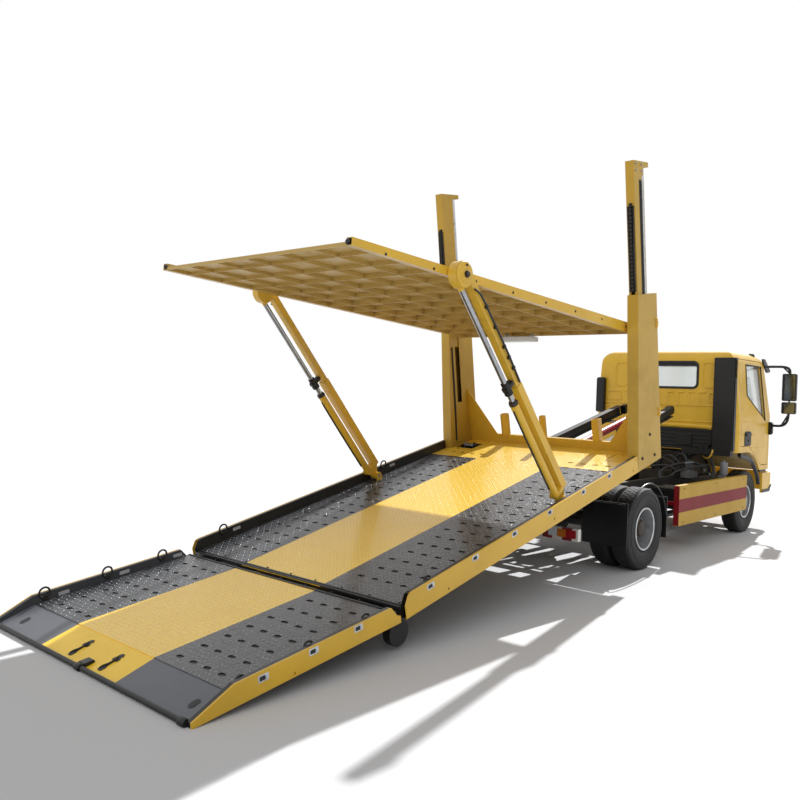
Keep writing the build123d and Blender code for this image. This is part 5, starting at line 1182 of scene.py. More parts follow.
def wheel_face(axle, y, side, name, body, dish):
    """Rim edge, nuts and hub of a wheel; dish is how far the disc stands from the wheel's middle."""
    outward = at(axle.x, y, axle.z) @ turned("X", -90 * side)
    edge = bmesh.new()
    rim = ((0.196, 0.050), (0.194, 0.080), (0.199, 0.089), (0.211, 0.090), (0.214, 0.086), (0.213, 0.080))
    add_turned(edge, outward, rim, 64)
    step = ((0.192, 0.012 + dish), (0.184, 0.016 + dish), (0.150, 0.024 + dish), (0.112, 0.020 + dish),
            (0.100, 0.010 + dish))
    add_turned(edge, outward, step, 64)
    for radius in (0.1760, 0.1560, 0.1290):
        profile = ((radius - 0.004, -0.006), (radius - 0.003, 0.004), (radius + 0.003, 0.004),
                   (radius + 0.004, -0.006))
        add_turned(edge, outward @ at(0, 0, 0.024 + dish), profile, 64)
    fit(edge, name + "_rim_edge", "polished rim edge", body)
    nuts = bmesh.new()
    for index in range(wheel_nuts):
        turn = 2 * math.pi * (index + 0.5) / wheel_nuts
        spot = outward @ at(nut_circle * math.cos(turn), nut_circle * math.sin(turn), 0.021 + dish)
        profile = ((0, -0.004), (0.0195, -0.004), (0.0195, 0.004), (0.015, 0.006), (0.015, 0.026),
                   (0.012, 0.029), (0.008, 0.029), (0.008, 0.036), (0, 0.036))
        add_turned(nuts, spot, profile, 6)
    fit(nuts, name + "_nuts", "galvanised steel", body)
    hub = bmesh.new()
    reach = 0.062 if dish > 0 else 0.036
    profile = ((0.1005, reach - 0.030), (0.1010, reach - 0.004), (0.096, reach + 0.001),
               (0.082, reach + 0.004), (0.078, reach + 0.018), (0.060, reach + 0.024), (0, reach + 0.026))
    add_turned(hub, outward, profile, 32)
    for index in range(8):
        turn = 2 * math.pi * index / 8
        add_bolt(hub, outward @ at(0.088 * math.cos(turn), 0.088 * math.sin(turn), reach + 0.001), 0.0055,
                 1.2)
    fit(hub, name + "_hub_cover", "cast iron with oil", body)
    run = [(0.176, 0, 0.018 + dish), (0.184, 0, 0.040 + dish), (0.182, 0, 0.066 + max(dish, -0.02))]
    fit_one(name + "_valve", "galvanised steel", body, add_tube, outward, run, 0.0035)


class TRUCK_OT_wheels(bpy.types.Operator):
    """Adds tread, rim edges, nuts, hub covers and valves to the wheels"""
    bl_idname = "truck.wheels"
    bl_label = "Tyres and wheel faces"

    def execute(self, context):
        front = Vector((front_x, 0, wheel_z))
        rear = Vector((axle_x, 0, wheel_z))
        for side, word in SIDES:
            body = f"front_{word}_wheel"
            tread_ribs(front, front_wheel_y * side, side, f"front_{word}", body)
            wheel_face(front, front_wheel_y * side, side, f"front_{word}", body, front_dish)
            body = f"rear_{word}_wheels"
            for y, row in ((outer_wheel_y, "outer"), (inner_wheel_y, "inner")):
                tread_ribs(rear, y * side, side, f"rear_{word}_{row}", body)
            wheel_face(rear, outer_wheel_y * side, side, f"rear_{word}", body, rear_dish)
        return {"FINISHED"}


# Cab, outside

cab_rear_x = 2.790
cab_half = 0.980
waist_z = 1.5
# From the waist up, the sides lean in by this much to the roof
side_lean = 0.080
side_height = 0.85
cab_back = truck @ at(cab_rear_x, 0, 0) @ turned("Z", 90)


def pressed_rib(shape, line, radius=0.010):
    """A pressed rib of the rear panel: the upper half of a round bar let into the panel."""
    add_tube(shape, cab_back, [(y, 0.002, z) for y, z in line], radius * 1.25, 8, 1)


def rear_panel_ribs():
    """Inverted-L ribs, creases and the pressed frames beside the rear window."""
    shape = bmesh.new()
    for side, _ in SIDES:
        for y in (0.06, 0.20, 0.34, 0.48):
            foot = y + 0.012
            pressed_rib(shape, [(foot * side, 1.655), (y * side, 1.790), (y * side, 1.806),
                                ((y + 0.085) * side, 1.812)], 0.009)
        pressed_rib(shape, [(0.60 * side, 1.720), (0.615 * side, 1.800), (0.70 * side, 1.806),
                            (0.80 * side, 1.800)], 0.009)
        pressed_rib(shape, [(0.60 * side, 1.690), (0.70 * side, 1.680), (0.80 * side, 1.684)], 0.008)
        frame_line = rounded_outline((0.52, 1.875), (0.69, 2.195), 0.050)
        add_loop(shape, cab_back, [(u * side, z) for u, z in frame_line], 0.011)
    for z, radius in ((1.432, 0.008), (1.640, 0.007)):
        pressed_rib(shape, [(-0.88, z), (-0.5, z - 0.004), (0.5, z - 0.004), (0.88, z)], radius)
    # The rolled lip over the engine cover, hanging a little lower in the middle.
    run = [(-0.66, 0.004, 1.352), (-0.60, 0.004, 1.366), (-0.30, 0.004, 1.370), (0.30, 0.004, 1.370),
           (0.60, 0.004, 1.366), (0.66, 0.004, 1.352)]
    add_tube(shape, cab_back, run, 0.032, 10)
    fit(shape, "rear_panel_ribs", "yellow polyurethane enamel", "cab")


def engine_cover():
    """Black moulded cover over the opening under the rear panel, ribbed and bolted."""
    shape = bmesh.new()
    add_outline(shape, cab_back, rounded_outline((-0.66, 1.066), (0.66, 1.352), 0.03), 0.012, 0.004)
    for z in (1.110, 1.160, 1.210, 1.260, 1.310):
        add_tube(shape, cab_back, [(-0.62, 0.010, z), (0, 0.016, z + 0.004), (0.62, 0.010, z)], 0.009, 8)
    for y in (-0.30, 0.30):
        add_outline(shape, cab_back @ at(y, 0.008, 1.19), rounded(0.11, 0.07, 0.02), 0.022, 0.006)
    for y in (-0.63, -0.42, 0, 0.42, 0.63):
        add_bolt(shape, cab_back @ at(y, 0.012, 1.085) @ turned("X", -90), 0.008)
    fit(shape, "engine_cover", "black moulded polypropylene", "cab")


def window_seal():
    """Rubber seal round the rear window, with a shade band printed along its top."""
    outline = rounded_outline((-0.452, 1.863), (0.452, 2.207), 0.062, 6)
    shape = bmesh.new()
    add_loop(shape, cab_back, outline, 0.013, 0.002, 8)
    add_loop(shape, cab_back, rounded_outline((-0.440, 1.875), (0.440, 2.195), 0.052, 6), 0.007, 0.006, 8)
    fit(shape, "rear_window_seal", "hose rubber", "cab")
    rim_line = ((-0.44, 2.150), (0.44, 2.150), (0.44, 2.196), (-0.44, 2.196))
    fit_one("rear_window_band", "black nylon", "cab", add_outline, cab_back @ at(0, -0.014, 0), rim_line,
            0.002)


def side_duct():
    """Second dark duct strip at the far rear corner of the cab."""
    shape = bmesh.new()
    add_outline(shape, cab_back @ at(0, 0.002, 0), rounded_outline((0.835, 1.500), (0.952, 1.985), 0.025),
                0.070, 0.012)
    for index in range(9):
        z = 1.56 + 0.045 * index
        add_block(shape, cab_back @ at(0.894, 0.071, z), (-0.045, 0.045), (-0.002, 0.008), (-0.010, 0.010),
                  0.003)
    fit(shape, "far_duct", "black moulded polypropylene", "cab")
    clips = bmesh.new()
    low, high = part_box("air_intake_duct")
    for z in (1.22, 1.46, 1.72, 1.98, 2.16):
        add_block(clips, at(low.x, low.y + 0.135, z), (-0.004, 0.006), (-0.138, 0.138), (-0.005, 0.005),
                  0.002)
    fit(clips, "duct_bands", "black nylon", "cab")


def roof_ribs():
    """Pressed stiffening ribs along the roof."""
    shape = bmesh.new()
    for y in (-0.60, -0.36, -0.12, 0.12, 0.36, 0.60):
        half = 0.055
        outline = ((2.96, 2.347), (3.00, 2.359), (3.62, 2.359), (3.68, 2.347))
        add_outline(shape, truck @ at(0, y - half, 0), outline, 2 * half, 0.004)
    fit(shape, "roof_ribs", "yellow polyurethane enamel", "cab")


def door_outside(side, word):
    """Handle in its recess, window trim and creases of a door."""
    body = f"{word}_door"
    y = (cab_half + 0.001) * side
    shape = bmesh.new()
    place = truck @ at(0, y, 0)
    depth = 0.004 * side
    add_outline(shape, place, rounded_outline((3.050, 1.140), (3.300, 1.325), 0.030), depth, 0.0012)
    fit(shape, f"door_handle_recess_{word}", "black nylon", body)
    grip = bmesh.new()
    run = [(3.070, 0.004 * side, 1.280), (3.10, 0.018 * side, 1.286), (3.24, 0.018 * side, 1.286),
           (3.280, 0.004 * side, 1.280)]
    add_tube(grip, place, run, 0.014, 10)
    profile = ((0, 0), (0.014, 0), (0.014, 0.006), (0.004, 0.007), (0.004, 0.004), (0, 0.004))
    add_turned(grip, place @ at(3.205, 0.004 * side, 1.205) @ turned("X", -90 * side), profile, 16)
    fit(grip, f"door_handle_{word}", "black moulded polypropylene", body)
    trim = bmesh.new()
    window = ((3.185, 2.190), (3.165, 1.790), (3.850, 1.465), (3.775, 2.190))
    corners = []
    for x, z in window:
        lean = max(0.0, (z - waist_z) / side_height)
        corners.append((x, (cab_half + 0.002 - side_lean * lean) * side, z))
    add_tube(trim, truck, corners + corners[:1], 0.008, 8, 1)
    fit(trim, f"door_window_seal_{word}", "hose rubber", body)
    crease = bmesh.new()
    for z, start, end in ((1.455, 2.96, 3.97), (1.120, 3.30, 3.97)):
        add_tube(crease, truck, [(start, 0.9775 * side, z), (end, 0.9775 * side, z - 0.02)], 0.006, 8, 1)
    fit(crease, f"door_creases_{word}", "yellow polyurethane enamel", body)


def arch_trim(side, word):
    """Black moulding round the front wheel's arch, with a step below the door."""
    shape = bmesh.new()
    line = [(2.935, 1.050), (2.981, 1.027), (3.140, 1.012), (3.294, 0.984), (3.440, 0.935), (3.596, 0.813),
            (3.680, 0.720), (3.726, 0.631)]
    add_tube(shape, truck, [(x, 0.962 * side, z - 0.018) for x, z in line], 0.026, 10)
    fit(shape, f"arch_trim_{word}", "black moulded polypropylene", "cab")
    step = bmesh.new()
    add_block(step, truck @ at(3.90, 0.955 * side, 0.800), (-0.16, 0.10),
              (-0.050, 0.020) if side > 0 else (-0.020, 0.050), (-0.030, 0.0), 0.006)
    for index in range(6):
        add_block(step, truck @ at(3.76 + 0.04 * index, 0.955 * side, 0.800), (0, 0.012),
                  (-0.045, 0.015) if side > 0 else (-0.015, 0.045), (0, 0.004), 0.001)
    fit(step, f"cab_step_{word}", "black moulded polypropylene", "chassis")


def front_face():
    """Grille, headlamps, turn lamps, blank plate, wipers and roof lamps."""
    ahead = truck @ at(4.192, 0, 0) @ turned("Z", -90)
    grille = bmesh.new()
    add_outline(grille, ahead, rounded_outline((-0.62, 0.905), (0.62, 1.155), 0.04), 0.020, 0.006)
    for index in range(5):
        z = 0.945 + 0.043 * index
        add_block(grille, ahead @ at(0, 0.018, z), (-0.58, 0.58), (0, 0.020), (-0.011, 0.011), 0.005)
    fit(grille, "front_grille", "black moulded polypropylene", "cab")
    for side, word in SIDES:
        lamp = bmesh.new()
        spot = truck @ at(4.286, 0.700 * side, 0.630) @ turned("Z", -90)
        add_outline(lamp, spot, rounded(0.125, 0.062, 0.030), 0.010, 0.004)
        fit(lamp, f"headlamp_{word}", "clear lamp lens", "chassis")
        fit_one(f"headlamp_bezel_{word}", "black moulded polypropylene", "chassis", add_loop, spot,
                rounded(0.132, 0.069, 0.034), 0.009, 0.004, 8)
        fit_one(f"turn_lamp_{word}", "amber lamp lens", "chassis", add_outline,
                truck @ at(4.286, 0.490 * side, 0.630) @ turned("Z", -90), rounded(0.050, 0.040, 0.014),
                0.010, 0.003)
        outline = ((-0.0, -0.012), (0.30, -0.012), (0.40, 0.080), (0.36, 0.086), (0.26, 0.030), (0.0, 0.030))
        fit_one(f"bumper_skirt_{word}", "black moulded polypropylene", "chassis", add_outline,
                truck @ at(3.80, 0.9905 * side, 0.500), outline, 0.006 * side, 0.001)
        blade = bmesh.new()
        foot = Vector((4.104, 0.62 * side, 1.440))
        tip = Vector((4.052, 0.10 * side, 1.690))
        add_tube(blade, truck, [foot, foot + Vector((0.012, -0.10 * side, 0.040)),
                                tip + Vector((0.018, 0.16 * side, -0.10)), tip], 0.007, 8)
        fit(blade, f"wiper_{word}", "black nylon", "cab")
        profile = ((0, 0), (0.036, 0), (0.036, 0.010), (0.026, 0.030), (0.010, 0.040), (0, 0.041))
        fit_one(f"roof_lamp_{word}", "amber lamp lens", "cab", add_turned,
                truck @ at(3.64, 0.52 * side, 2.352), profile, 20)
    for side, word in SIDES:
        outline = ((3.860, 2.300), (3.905, 2.215), (4.060, 2.120), (4.180, 2.130), (4.200, 2.160),
                   (4.080, 2.230), (3.960, 2.305))
        fit_one(f"visor_wing_{word}", "black moulded polypropylene", "cab", add_outline,
                truck @ at(0, 0.900 * side, 0), outline, 0.022 * side, 0.005)
        profile = ((0, 0), (0.044, 0.004), (0.044, 0.026), (0.030, 0.046), (0.012, 0.054), (0, 0.055))
        fit_one(f"marker_lamp_{word}", "black nylon", "cab", add_turned,
                truck @ at(3.780, 0.790 * side, 2.318), profile, 20)
    fit_one("blank_front_plate", "silver reflector", "chassis", add_outline,
            truck @ at(4.290, 0, 0.560) @ turned("Z", -90), rounded(0.22, 0.07, 0.008), 0.004, 0.001)


def mirror_faces(side, word):
    """Mirror glass set in the rear of both mirror heads, with their rims, and the mirror arms."""
    for low, high, part in ((1.752, 2.098, "main"), (1.573, 1.717, "wide")):
        glass = bmesh.new()
        place = truck @ at(4.0300, 1.220 * side, (low + high) / 2) @ turned("Z", 90 + 3 * side)
        half = (high - low) / 2
        add_outline(glass, place, rounded(0.078, half, 0.020), 0.003, 0.001)
        fit(glass, f"mirror_glass_{part}_{word}", "mirror glass", "cab")
        fit_one(f"mirror_rim_{part}_{word}", "black nylon", "cab", add_loop, place,
                rounded_outline((-0.081, -half - 0.003), (0.081, half + 0.003), 0.022), 0.0045, 0.002, 8)
    arm = bmesh.new()
    run = [(3.965, 0.885 * side, 2.200), (4.055, 1.125 * side, 2.204), (4.055, 1.205 * side, 2.172),
           (4.055, 1.220 * side, 2.100)]
    add_tube(arm, truck, run, 0.018, 10)
    run = [(4.050, 0.960 * side, 1.400), (4.055, 1.130 * side, 1.402), (4.055, 1.200 * side, 1.460),
           (4.055, 1.220 * side, 1.570)]
    add_tube(arm, truck, run, 0.018, 10)
    add_block(arm, truck @ at(4.052, 0.990 * side, 1.375), (-0.045, 0.040), (-0.036, 0.036), (-0.105, 0.070),
              0.015)
    fit(arm, f"mirror_arms_{word}", "black moulded polypropylene", "cab")


class TRUCK_OT_cab_outside(bpy.types.Operator):
    """Adds pressed ribs, seals, covers, lamps, grille, wipers and mirror glass"""
    bl_idname = "truck.cab_outside"
    bl_label = "Outside of the cab"

    def execute(self, context):
        rear_panel_ribs()
        engine_cover()
        window_seal()
        side_duct()
        roof_ribs()
        front_face()
        for side, word in SIDES:
            door_outside(side, word)
            arch_trim(side, word)
            mirror_faces(side, word)
        return {"FINISHED"}


# Cab, inside


def cushion(name, low, high, crown, seams):
    """Foam cushion: a closed rounded form, blown up by cloth simulation, with sewn channels across it."""
    mesh = bpy.data.meshes.new(name)
    shape = bmesh.new()
    inset = 0.012
    add_block(shape, Matrix.Identity(4), (low[0] + inset, high[0] - inset), (low[1] + inset, high[1] - inset),
              (low[2] + inset, high[2] - inset), 0.030)
    shape.to_mesh(mesh)
    shape.free()
    piece = bpy.data.objects.new(name, mesh)
    bpy.context.scene.collection.objects.link(piece)
    remesh = piece.modifiers.new("even faces", "REMESH")
    remesh.mode = "VOXEL"
    remesh.voxel_size = 0.012
    apply_modifier(piece)
    blow_up(piece, crown)
    sew(piece.data, low, high, seams)
    piece.data.materials.clear()
    piece.data.materials.append(finish("seat polyester"))
    piece.data.shade_smooth()
    return piece


def apply_modifier(piece):
    """Replace the piece's mesh by what its modifiers make of it."""
    graph = bpy.context.evaluated_depsgraph_get()
    made = bpy.data.meshes.new_from_object(piece.evaluated_get(graph))
    piece.modifiers.clear()
    piece.data = made


def blow_up(piece, crown):
    """Cloth under inner pressure, its swelling capped."""
    before = [v.co.copy() for v in piece.data.vertices]
    cloth = piece.modifiers.new("foam", "CLOTH")
    cloth.settings.use_pressure = True
    cloth.settings.uniform_pressure_force = 4.0
    cloth.settings.effector_weights.gravity = 0.0
    scene = bpy.context.scene
    for number in range(1, 16):
        scene.frame_set(number)
    apply_modifier(piece)
    scene.frame_set(1)
    for vertex, start in zip(piece.data.vertices, before):
        move = vertex.co - start
        if move.length > crown:
            vertex.co = start + move.normalized() * crown


def sew(mesh, low, high, seams):
    """Draw the skin in along sewn lines: each seam is (axis, share of the cushion, depth)."""
    for vertex in mesh.vertices:
        middle = Vector([(a + b) / 2 for a, b in zip(low, high)])
        for axis, share, depth in seams:
            line = low[axis] + (high[axis] - low[axis]) * share
            near = math.exp(-((vertex.co[axis] - line) / 0.016) ** 2)
            inward = middle - vertex.co
            inward[axis] = 0.0
            if inward.length > 0:
                vertex.co += inward.normalized() * depth * near


class TRUCK_OT_cab_inside(bpy.types.Operator):
    """Replaces the plain seats with sewn foam cushions, and adds the dashboard's fittings"""
    bl_idname = "truck.cab_inside"
    bl_label = "Inside of the cab"

    def execute(self, context):
        x0 = axle_x + 2.900
        x1 = axle_x + 3.400
        for index, (y0, y1) in enumerate(((-0.880, -0.380), (-0.320, 0.200), (0.330, 0.880))):
            seat = cushion(f"seat_cushion_{index + 1}", (x0 + 0.10, y0, 1.180), (x1, y1, 1.320), 0.016,
                           ((1, 0.22, 0.010), (1, 0.78, 0.010), (0, 0.45, 0.008)))
            back = cushion(f"seat_back_{index + 1}", (x0, y0, 1.300), (x0 + 0.120, y1, 1.900), 0.016,
                           ((1, 0.20, 0.010), (1, 0.80, 0.010), (2, 0.36, 0.008), (2, 0.66, 0.008)))
            for piece in (seat, back):
                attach(piece, "cab")
            base = bmesh.new()
            add_block(base, Matrix.Identity(4), (x0 + 0.03, x1 - 0.03), (y0 + 0.03, y1 - 0.03),
                      (1.098, 1.185), 0.012)
            add_bolt(base, at(x1 - 0.05, y0 + 0.022, 1.14) @ turned("X", 90), 0.010)
            fit(base, f"seat_base_{index + 1}", "black nylon", "cab")
            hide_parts("seats")
            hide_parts("seats")
        self.dash(context)
        return {"FINISHED"}

    def dash(self, context):
        """Instrument hood, air vents and gear lever."""
        base = truck @ at(3.862, 0, 0)
        hood = bmesh.new()
        outline = ((-0.02, -0.012), (0.15, -0.012), (0.15, 0.020), (0.06, 0.055), (-0.02, 0.040))
        add_outline(hood, base @ at(0.03, 0.36, 1.400), outline, 0.40, 0.010)
        for y in (-0.75, -0.30, 0.12, 0.86):
            add_block(hood, base @ at(0, y, 1.30), (-0.006, 0.004), (-0.070, 0.070), (-0.030, 0.030), 0.005)
            for step in range(4):
                add_block(hood, base @ at(-0.008, y, 1.281 + 0.013 * step), (-0.003, 0.003), (-0.062, 0.062),
                          (-0.003, 0.003), 0.001)
        fit(hood, "dash_vents", "black moulded polypropylene", "cab")
        lever = bmesh.new()
        add_tube(lever, truck, [(3.52, 0.265, 1.135), (3.515, 0.262, 1.25), (3.50, 0.258, 1.36)], 0.009, 10)
        profile = ((0, 0), (0.014, 0.002), (0.024, 0.020), (0.022, 0.044), (0.010, 0.056), (0, 0.058))
        add_turned(lever, truck @ at(3.499, 0.258, 1.352), profile, 20)
        fit(lever, "gear_lever", "black nylon", "cab")


# Chassis


def tank(name, x, y, z, radius, material="black chassis enamel"):
    """Air or fuel tank: dished ends and two straps."""
    shape = bmesh.new()
    start, end = x
    place = truck @ at(start, y, z) @ turned("Y", 90)
    length = end - start
    dish = radius * 0.35
    profile = ((0, 0), (radius * 0.5, dish * 0.15), (radius * 0.85, dish * 0.5), (radius, dish),
               (radius, length - dish), (radius * 0.85, length - dish * 0.5),
               (radius * 0.5, length - dish * 0.15), (0, length))
    add_turned(shape, place, profile, 32)
    for share in (0.25, 0.75):
        profile = ((radius, 0), (radius + 0.003, 0.001), (radius + 0.003, 0.029), (radius, 0.030))
        add_turned(shape, place @ at(0, 0, length * share - 0.015), profile, 32)
        add_block(shape, truck @ at(start + length * share, y, z + radius), (-0.015, 0.015), (-0.02, 0.02),
                  (-0.004, 0.030), 0.003)
    fit(shape, name, material, "chassis")


def fuel_tank_fittings():
    """Straps and filler cap of the fuel tank."""
    low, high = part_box("fuel_tank")
    shape = bmesh.new()
    for share in (0.18, 0.50, 0.82):
        x = low.x + (high.x - low.x) * share
        outline = rounded_outline((0.440, low.z - 0.003), (0.943, high.z + 0.003), 0.060, 6)
        place = at(x, 0, 0) @ turned("Z", 90)
        for step in (-0.016, 0.0, 0.016):
            add_loop(shape, place @ at(0, step, 0), outline, 0.0045)
    fit(shape, "fuel_tank_straps", "galvanised steel", "chassis")
    cap = bmesh.new()
    profile = ((0, 0), (0.042, 0), (0.042, 0.012), (0.050, 0.014), (0.050, 0.034), (0.040, 0.040), (0, 0.042))
    add_turned(cap, at(low.x + 0.14, 0.76, high.z - 0.002), profile, 24)
    add_block(cap, at(low.x + 0.14, 0.76, high.z + 0.038), (-0.034, 0.034), (-0.006, 0.006), (0, 0.012),
              0.003)
    fit(cap, "fuel_cap", "black nylon", "chassis")


def battery_box():
    """Ribbed battery cover at the right of the frame, with its straps and cables."""
    shape = bmesh.new()
    x, y, z = (1.46, 1.98), (-0.900, -0.450), (0.430, 0.660)
    add_block(shape, truck, x, y, z, 0.018)
    for index in range(7):
        left = x[0] + 0.05 + 0.07 * index
        add_block(shape, truck, (left, left + 0.030), (y[0] - 0.006, y[0] + 0.01), (z[0] + 0.03, z[1] - 0.03),
                  0.005)
    fit(shape, "battery_cover", "black moulded polypropylene", "chassis")
    straps = bmesh.new()
    for share in (0.3, 0.7):
        middle = x[0] + (x[1] - x[0]) * share
        place = truck @ at(middle, 0, 0) @ turned("Z", 90)
        add_loop(straps, place, rounded_outline((y[0] - 0.008, z[0] - 0.004), (y[1] + 0.008, z[1] + 0.004),
                                                0.02), 0.006)
    for post in (1.60, 1.84):
        add_tube(straps, truck, [(post, -0.45, 0.60), (post - 0.03, -0.42, 0.62),
                                 (post - 0.04, -0.385, 0.62)], 0.012)
    fit(straps, "battery_straps", "galvanised steel", "chassis")


def exhaust():
    """Silencer, its inlet pipe and the tail pipe that turns to the side ahead of the rear wheels."""
    shape = bmesh.new()
    place = truck @ at(2.20, -0.600, 0.400) @ turned("Y", 90)
    profile = ((0, 0), (0.100, 0.004), (0.118, 0.016), (0.118, 0.284), (0.100, 0.296), (0, 0.30))
    add_turned(shape, place, profile, 32)
    run = [(2.22, -0.60, 0.40), (2.05, -0.60, 0.38), (1.90, -0.62, 0.36), (1.10, -0.64, 0.36),
           (0.98, -0.68, 0.36), (0.94, -0.80, 0.35)]
    add_tube(shape, truck, run, 0.036, 14)
    run = [(2.48, -0.60, 0.42), (2.66, -0.56, 0.46), (2.86, -0.42, 0.52), (3.10, -0.34, 0.56)]
    add_tube(shape, truck, run, 0.036, 14)
    for x in (2.24, 2.45):
        add_block(shape, truck @ at(x, -0.60, 0.40), (-0.012, 0.012), (-0.122, 0.122), (0.095, 0.150), 0.004)
        add_block(shape, truck @ at(x, -0.43, 0.53), (-0.012, 0.012), (-0.08, 0.052), (-0.010, 0.010), 0.003)
    fit(shape, "exhaust", "cast iron with oil", "chassis")


def tail_lamps(side, word):
    """Three-part lamp at each end of the underrun bar."""
    spot = truck @ at(-1.152, 0.800 * side, 0.455) @ turned("Z", 90)
    fit_one(f"tail_lamp_case_{word}", "black nylon", "chassis", add_outline, spot @ at(0, -0.004, 0),
            rounded(0.150, 0.045, 0.012), 0.020, 0.003)
    for low, high, material, part in ((-0.140, -0.040, "red lamp lens", "stop"),
                                      (-0.036, 0.050, "amber lamp lens", "turn"),
                                      (0.054, 0.140, "clear lamp lens", "reverse")):
        fit_one(f"tail_lamp_{part}_{word}", material, "chassis", add_outline, spot @ at(0, 0.014, 0),
                rounded_outline((low, -0.036), (high, 0.036), 0.008), 0.012, 0.003)


def axle_fittings():
    """Shackle bolts, brake chambers with their pipes, and cover bolts of the rear axle."""
    shape = bmesh.new()
    for side, _ in SIDES:
        for x in (-0.070, 0.070):
            add_tube(shape, truck, [(x, 0.400 * side, 0.300), (x, 0.400 * side, 0.520)], 0.009, 8, 1)
            add_tube(shape, truck, [(x, 0.480 * side, 0.300), (x, 0.480 * side, 0.520)], 0.009, 8, 1)
        chamber = truck @ at(0.16, 0.52 * side, 0.44) @ turned("Y", 90)
        profile = ((0, 0), (0.055, 0.01), (0.080, 0.035), (0.086, 0.050), (0.086, 0.062), (0.078, 0.090),
                   (0.050, 0.110), (0, 0.115))
        add_turned(shape, chamber, profile, 24)
        add_tube(shape, truck, [(0.27, 0.52 * side, 0.45), (0.40, 0.48 * side, 0.52),
                                (0.55, 0.392 * side, 0.58)], 0.010)
    for index in range(10):
        turn = 2 * math.pi * index / 10
        spot = truck @ at(-0.098, 0.142 * math.cos(turn), wheel_z + 0.142 * math.sin(turn))
        add_bolt(shape, spot @ turned("Y", -90), 0.010)
    fit(shape, "rear_axle_fittings", "cast iron with oil", "chassis")


def pump_and_valves():
    """Hydraulic tank, valve block, filter, their hoses, an air hose and the intake bellows between the frame
    rails and the cab.
    """
    fit_one("oil_tank", "black chassis enamel", "chassis", add_block, truck, (2.36, 2.66), (-0.880, -0.440),
            (0.500, 0.720), 0.020)
    block = bmesh.new()
    for index in range(5):
        x = 2.36 + 0.055 * index
        add_block(block, truck, (x, x + 0.048), (-0.56, -0.44), (0.722, 0.800), 0.004)
        add_tube(block, truck, [(x + 0.024, -0.50, 0.795), (x + 0.024, -0.50, 0.850),
                                (x + 0.018, -0.50, 0.905)], 0.006, 8, 2)
        profile = ((0, 0), (0.012, 0.004), (0.014, 0.014), (0.008, 0.026), (0, 0.028))
        add_turned(block, truck @ at(x + 0.018, -0.50, 0.895), profile, 12)
    fit(block, "valve_block", "cast aluminium", "chassis")
    can = bmesh.new()
    profile = ((0, 0), (0.040, 0), (0.046, 0.006), (0.046, 0.150), (0.040, 0.162), (0.014, 0.166),
               (0.014, 0.186), (0, 0.188))
    add_turned(can, truck @ at(2.62, -0.886, 0.780), profile, 28)
    add_block(can, truck @ at(2.62, -0.886, 0.80), (-0.050, 0.050), (-0.010, 0.050), (-0.090, -0.020), 0.004)
    fit(can, "filter_canister", "cast aluminium", "chassis")
    # Each hose: points in the truck's frame, then its radius
    hose_table = (
        (((2.40, -0.46, 0.76), (2.30, -0.30, 0.86), (2.34, -0.10, 0.84), (2.60, 0.02, 0.80),
          (2.86, 0.10, 0.86)), 0.016),
        (((2.46, -0.46, 0.77), (2.42, -0.22, 0.94), (2.52, 0.04, 0.92), (2.72, 0.10, 0.86),
          (2.95, 0.14, 0.84)), 0.013),
        (((2.52, -0.46, 0.77), (2.50, -0.34, 0.92), (2.58, -0.20, 0.98), (2.66, -0.06, 0.90),
          (2.80, 0.00, 0.74)), 0.013),
        (((2.58, -0.46, 0.77), (2.62, -0.40, 0.96), (2.70, -0.30, 1.00), (2.76, -0.20, 0.88),
          (2.80, -0.16, 0.70)), 0.016),
        (((2.20, -0.34, 0.70), (2.30, -0.42, 0.80), (2.50, -0.58, 0.86), (2.68, -0.66, 0.88),
          (2.80, -0.64, 0.76)), 0.014),
        (((2.10, -0.30, 0.70), (2.20, -0.26, 0.80), (2.42, -0.36, 0.88), (2.64, -0.52, 0.90),
          (2.74, -0.60, 0.80)), 0.018),
        (((2.66, -0.70, 0.62), (2.74, -0.72, 0.80), (2.74, -0.66, 0.98), (2.76, -0.48, 1.02),
          (2.80, -0.36, 0.92)), 0.020),
        (((1.90, 0.24, 0.70), (2.10, 0.30, 0.78), (2.40, 0.26, 0.84), (2.70, 0.30, 0.80),
          (2.90, 0.24, 0.72)), 0.016),
    )
    hoses = bmesh.new()
    ends = bmesh.new()
    for points, radius in hose_table:
        add_tube(hoses, truck, points, radius, 8, 6)
        for here, following in ((points[0], points[1]), (points[-1], points[-2])):
            run = Vector(following) - Vector(here)
            profile = ((0, -0.012), (radius * 1.35, -0.012), (radius * 1.35, 0.010), (radius * 1.15, 0.014),
                       (radius * 1.15, 0.036), (0, 0.036))
            add_turned(ends, truck @ facing(here, run), profile, 10)
    fit(hoses, "hydraulic_hoses", "hose rubber", "chassis")
    fit(ends, "hose_ends", "galvanised steel", "chassis")
    ring = bmesh.new()
    middle = truck @ at(2.745, -0.618, 1.064) @ turned("Z", 62)
    line = [(0.105 * math.cos(math.radians(a)), 0.010 * math.sin(math.radians(a * 2)),
             0.100 * math.sin(math.radians(a))) for a in range(150, 395, 12)]
    add_tube(ring, middle, line, 0.011, 10, 1)
    fit(ring, "yellow_air_hose", "yellow polyurethane enamel", "chassis")
    boot = bmesh.new()
    for index in range(9):
        z = 1.020 + 0.014 * index
        profile = ((0.050, 0), (0.066, 0.004), (0.066, 0.009), (0.050, 0.013))
        add_turned(boot, truck @ at(2.745, -0.600, z), profile, 20)
    fit(boot, "intake_bellows", "hose rubber", "chassis")


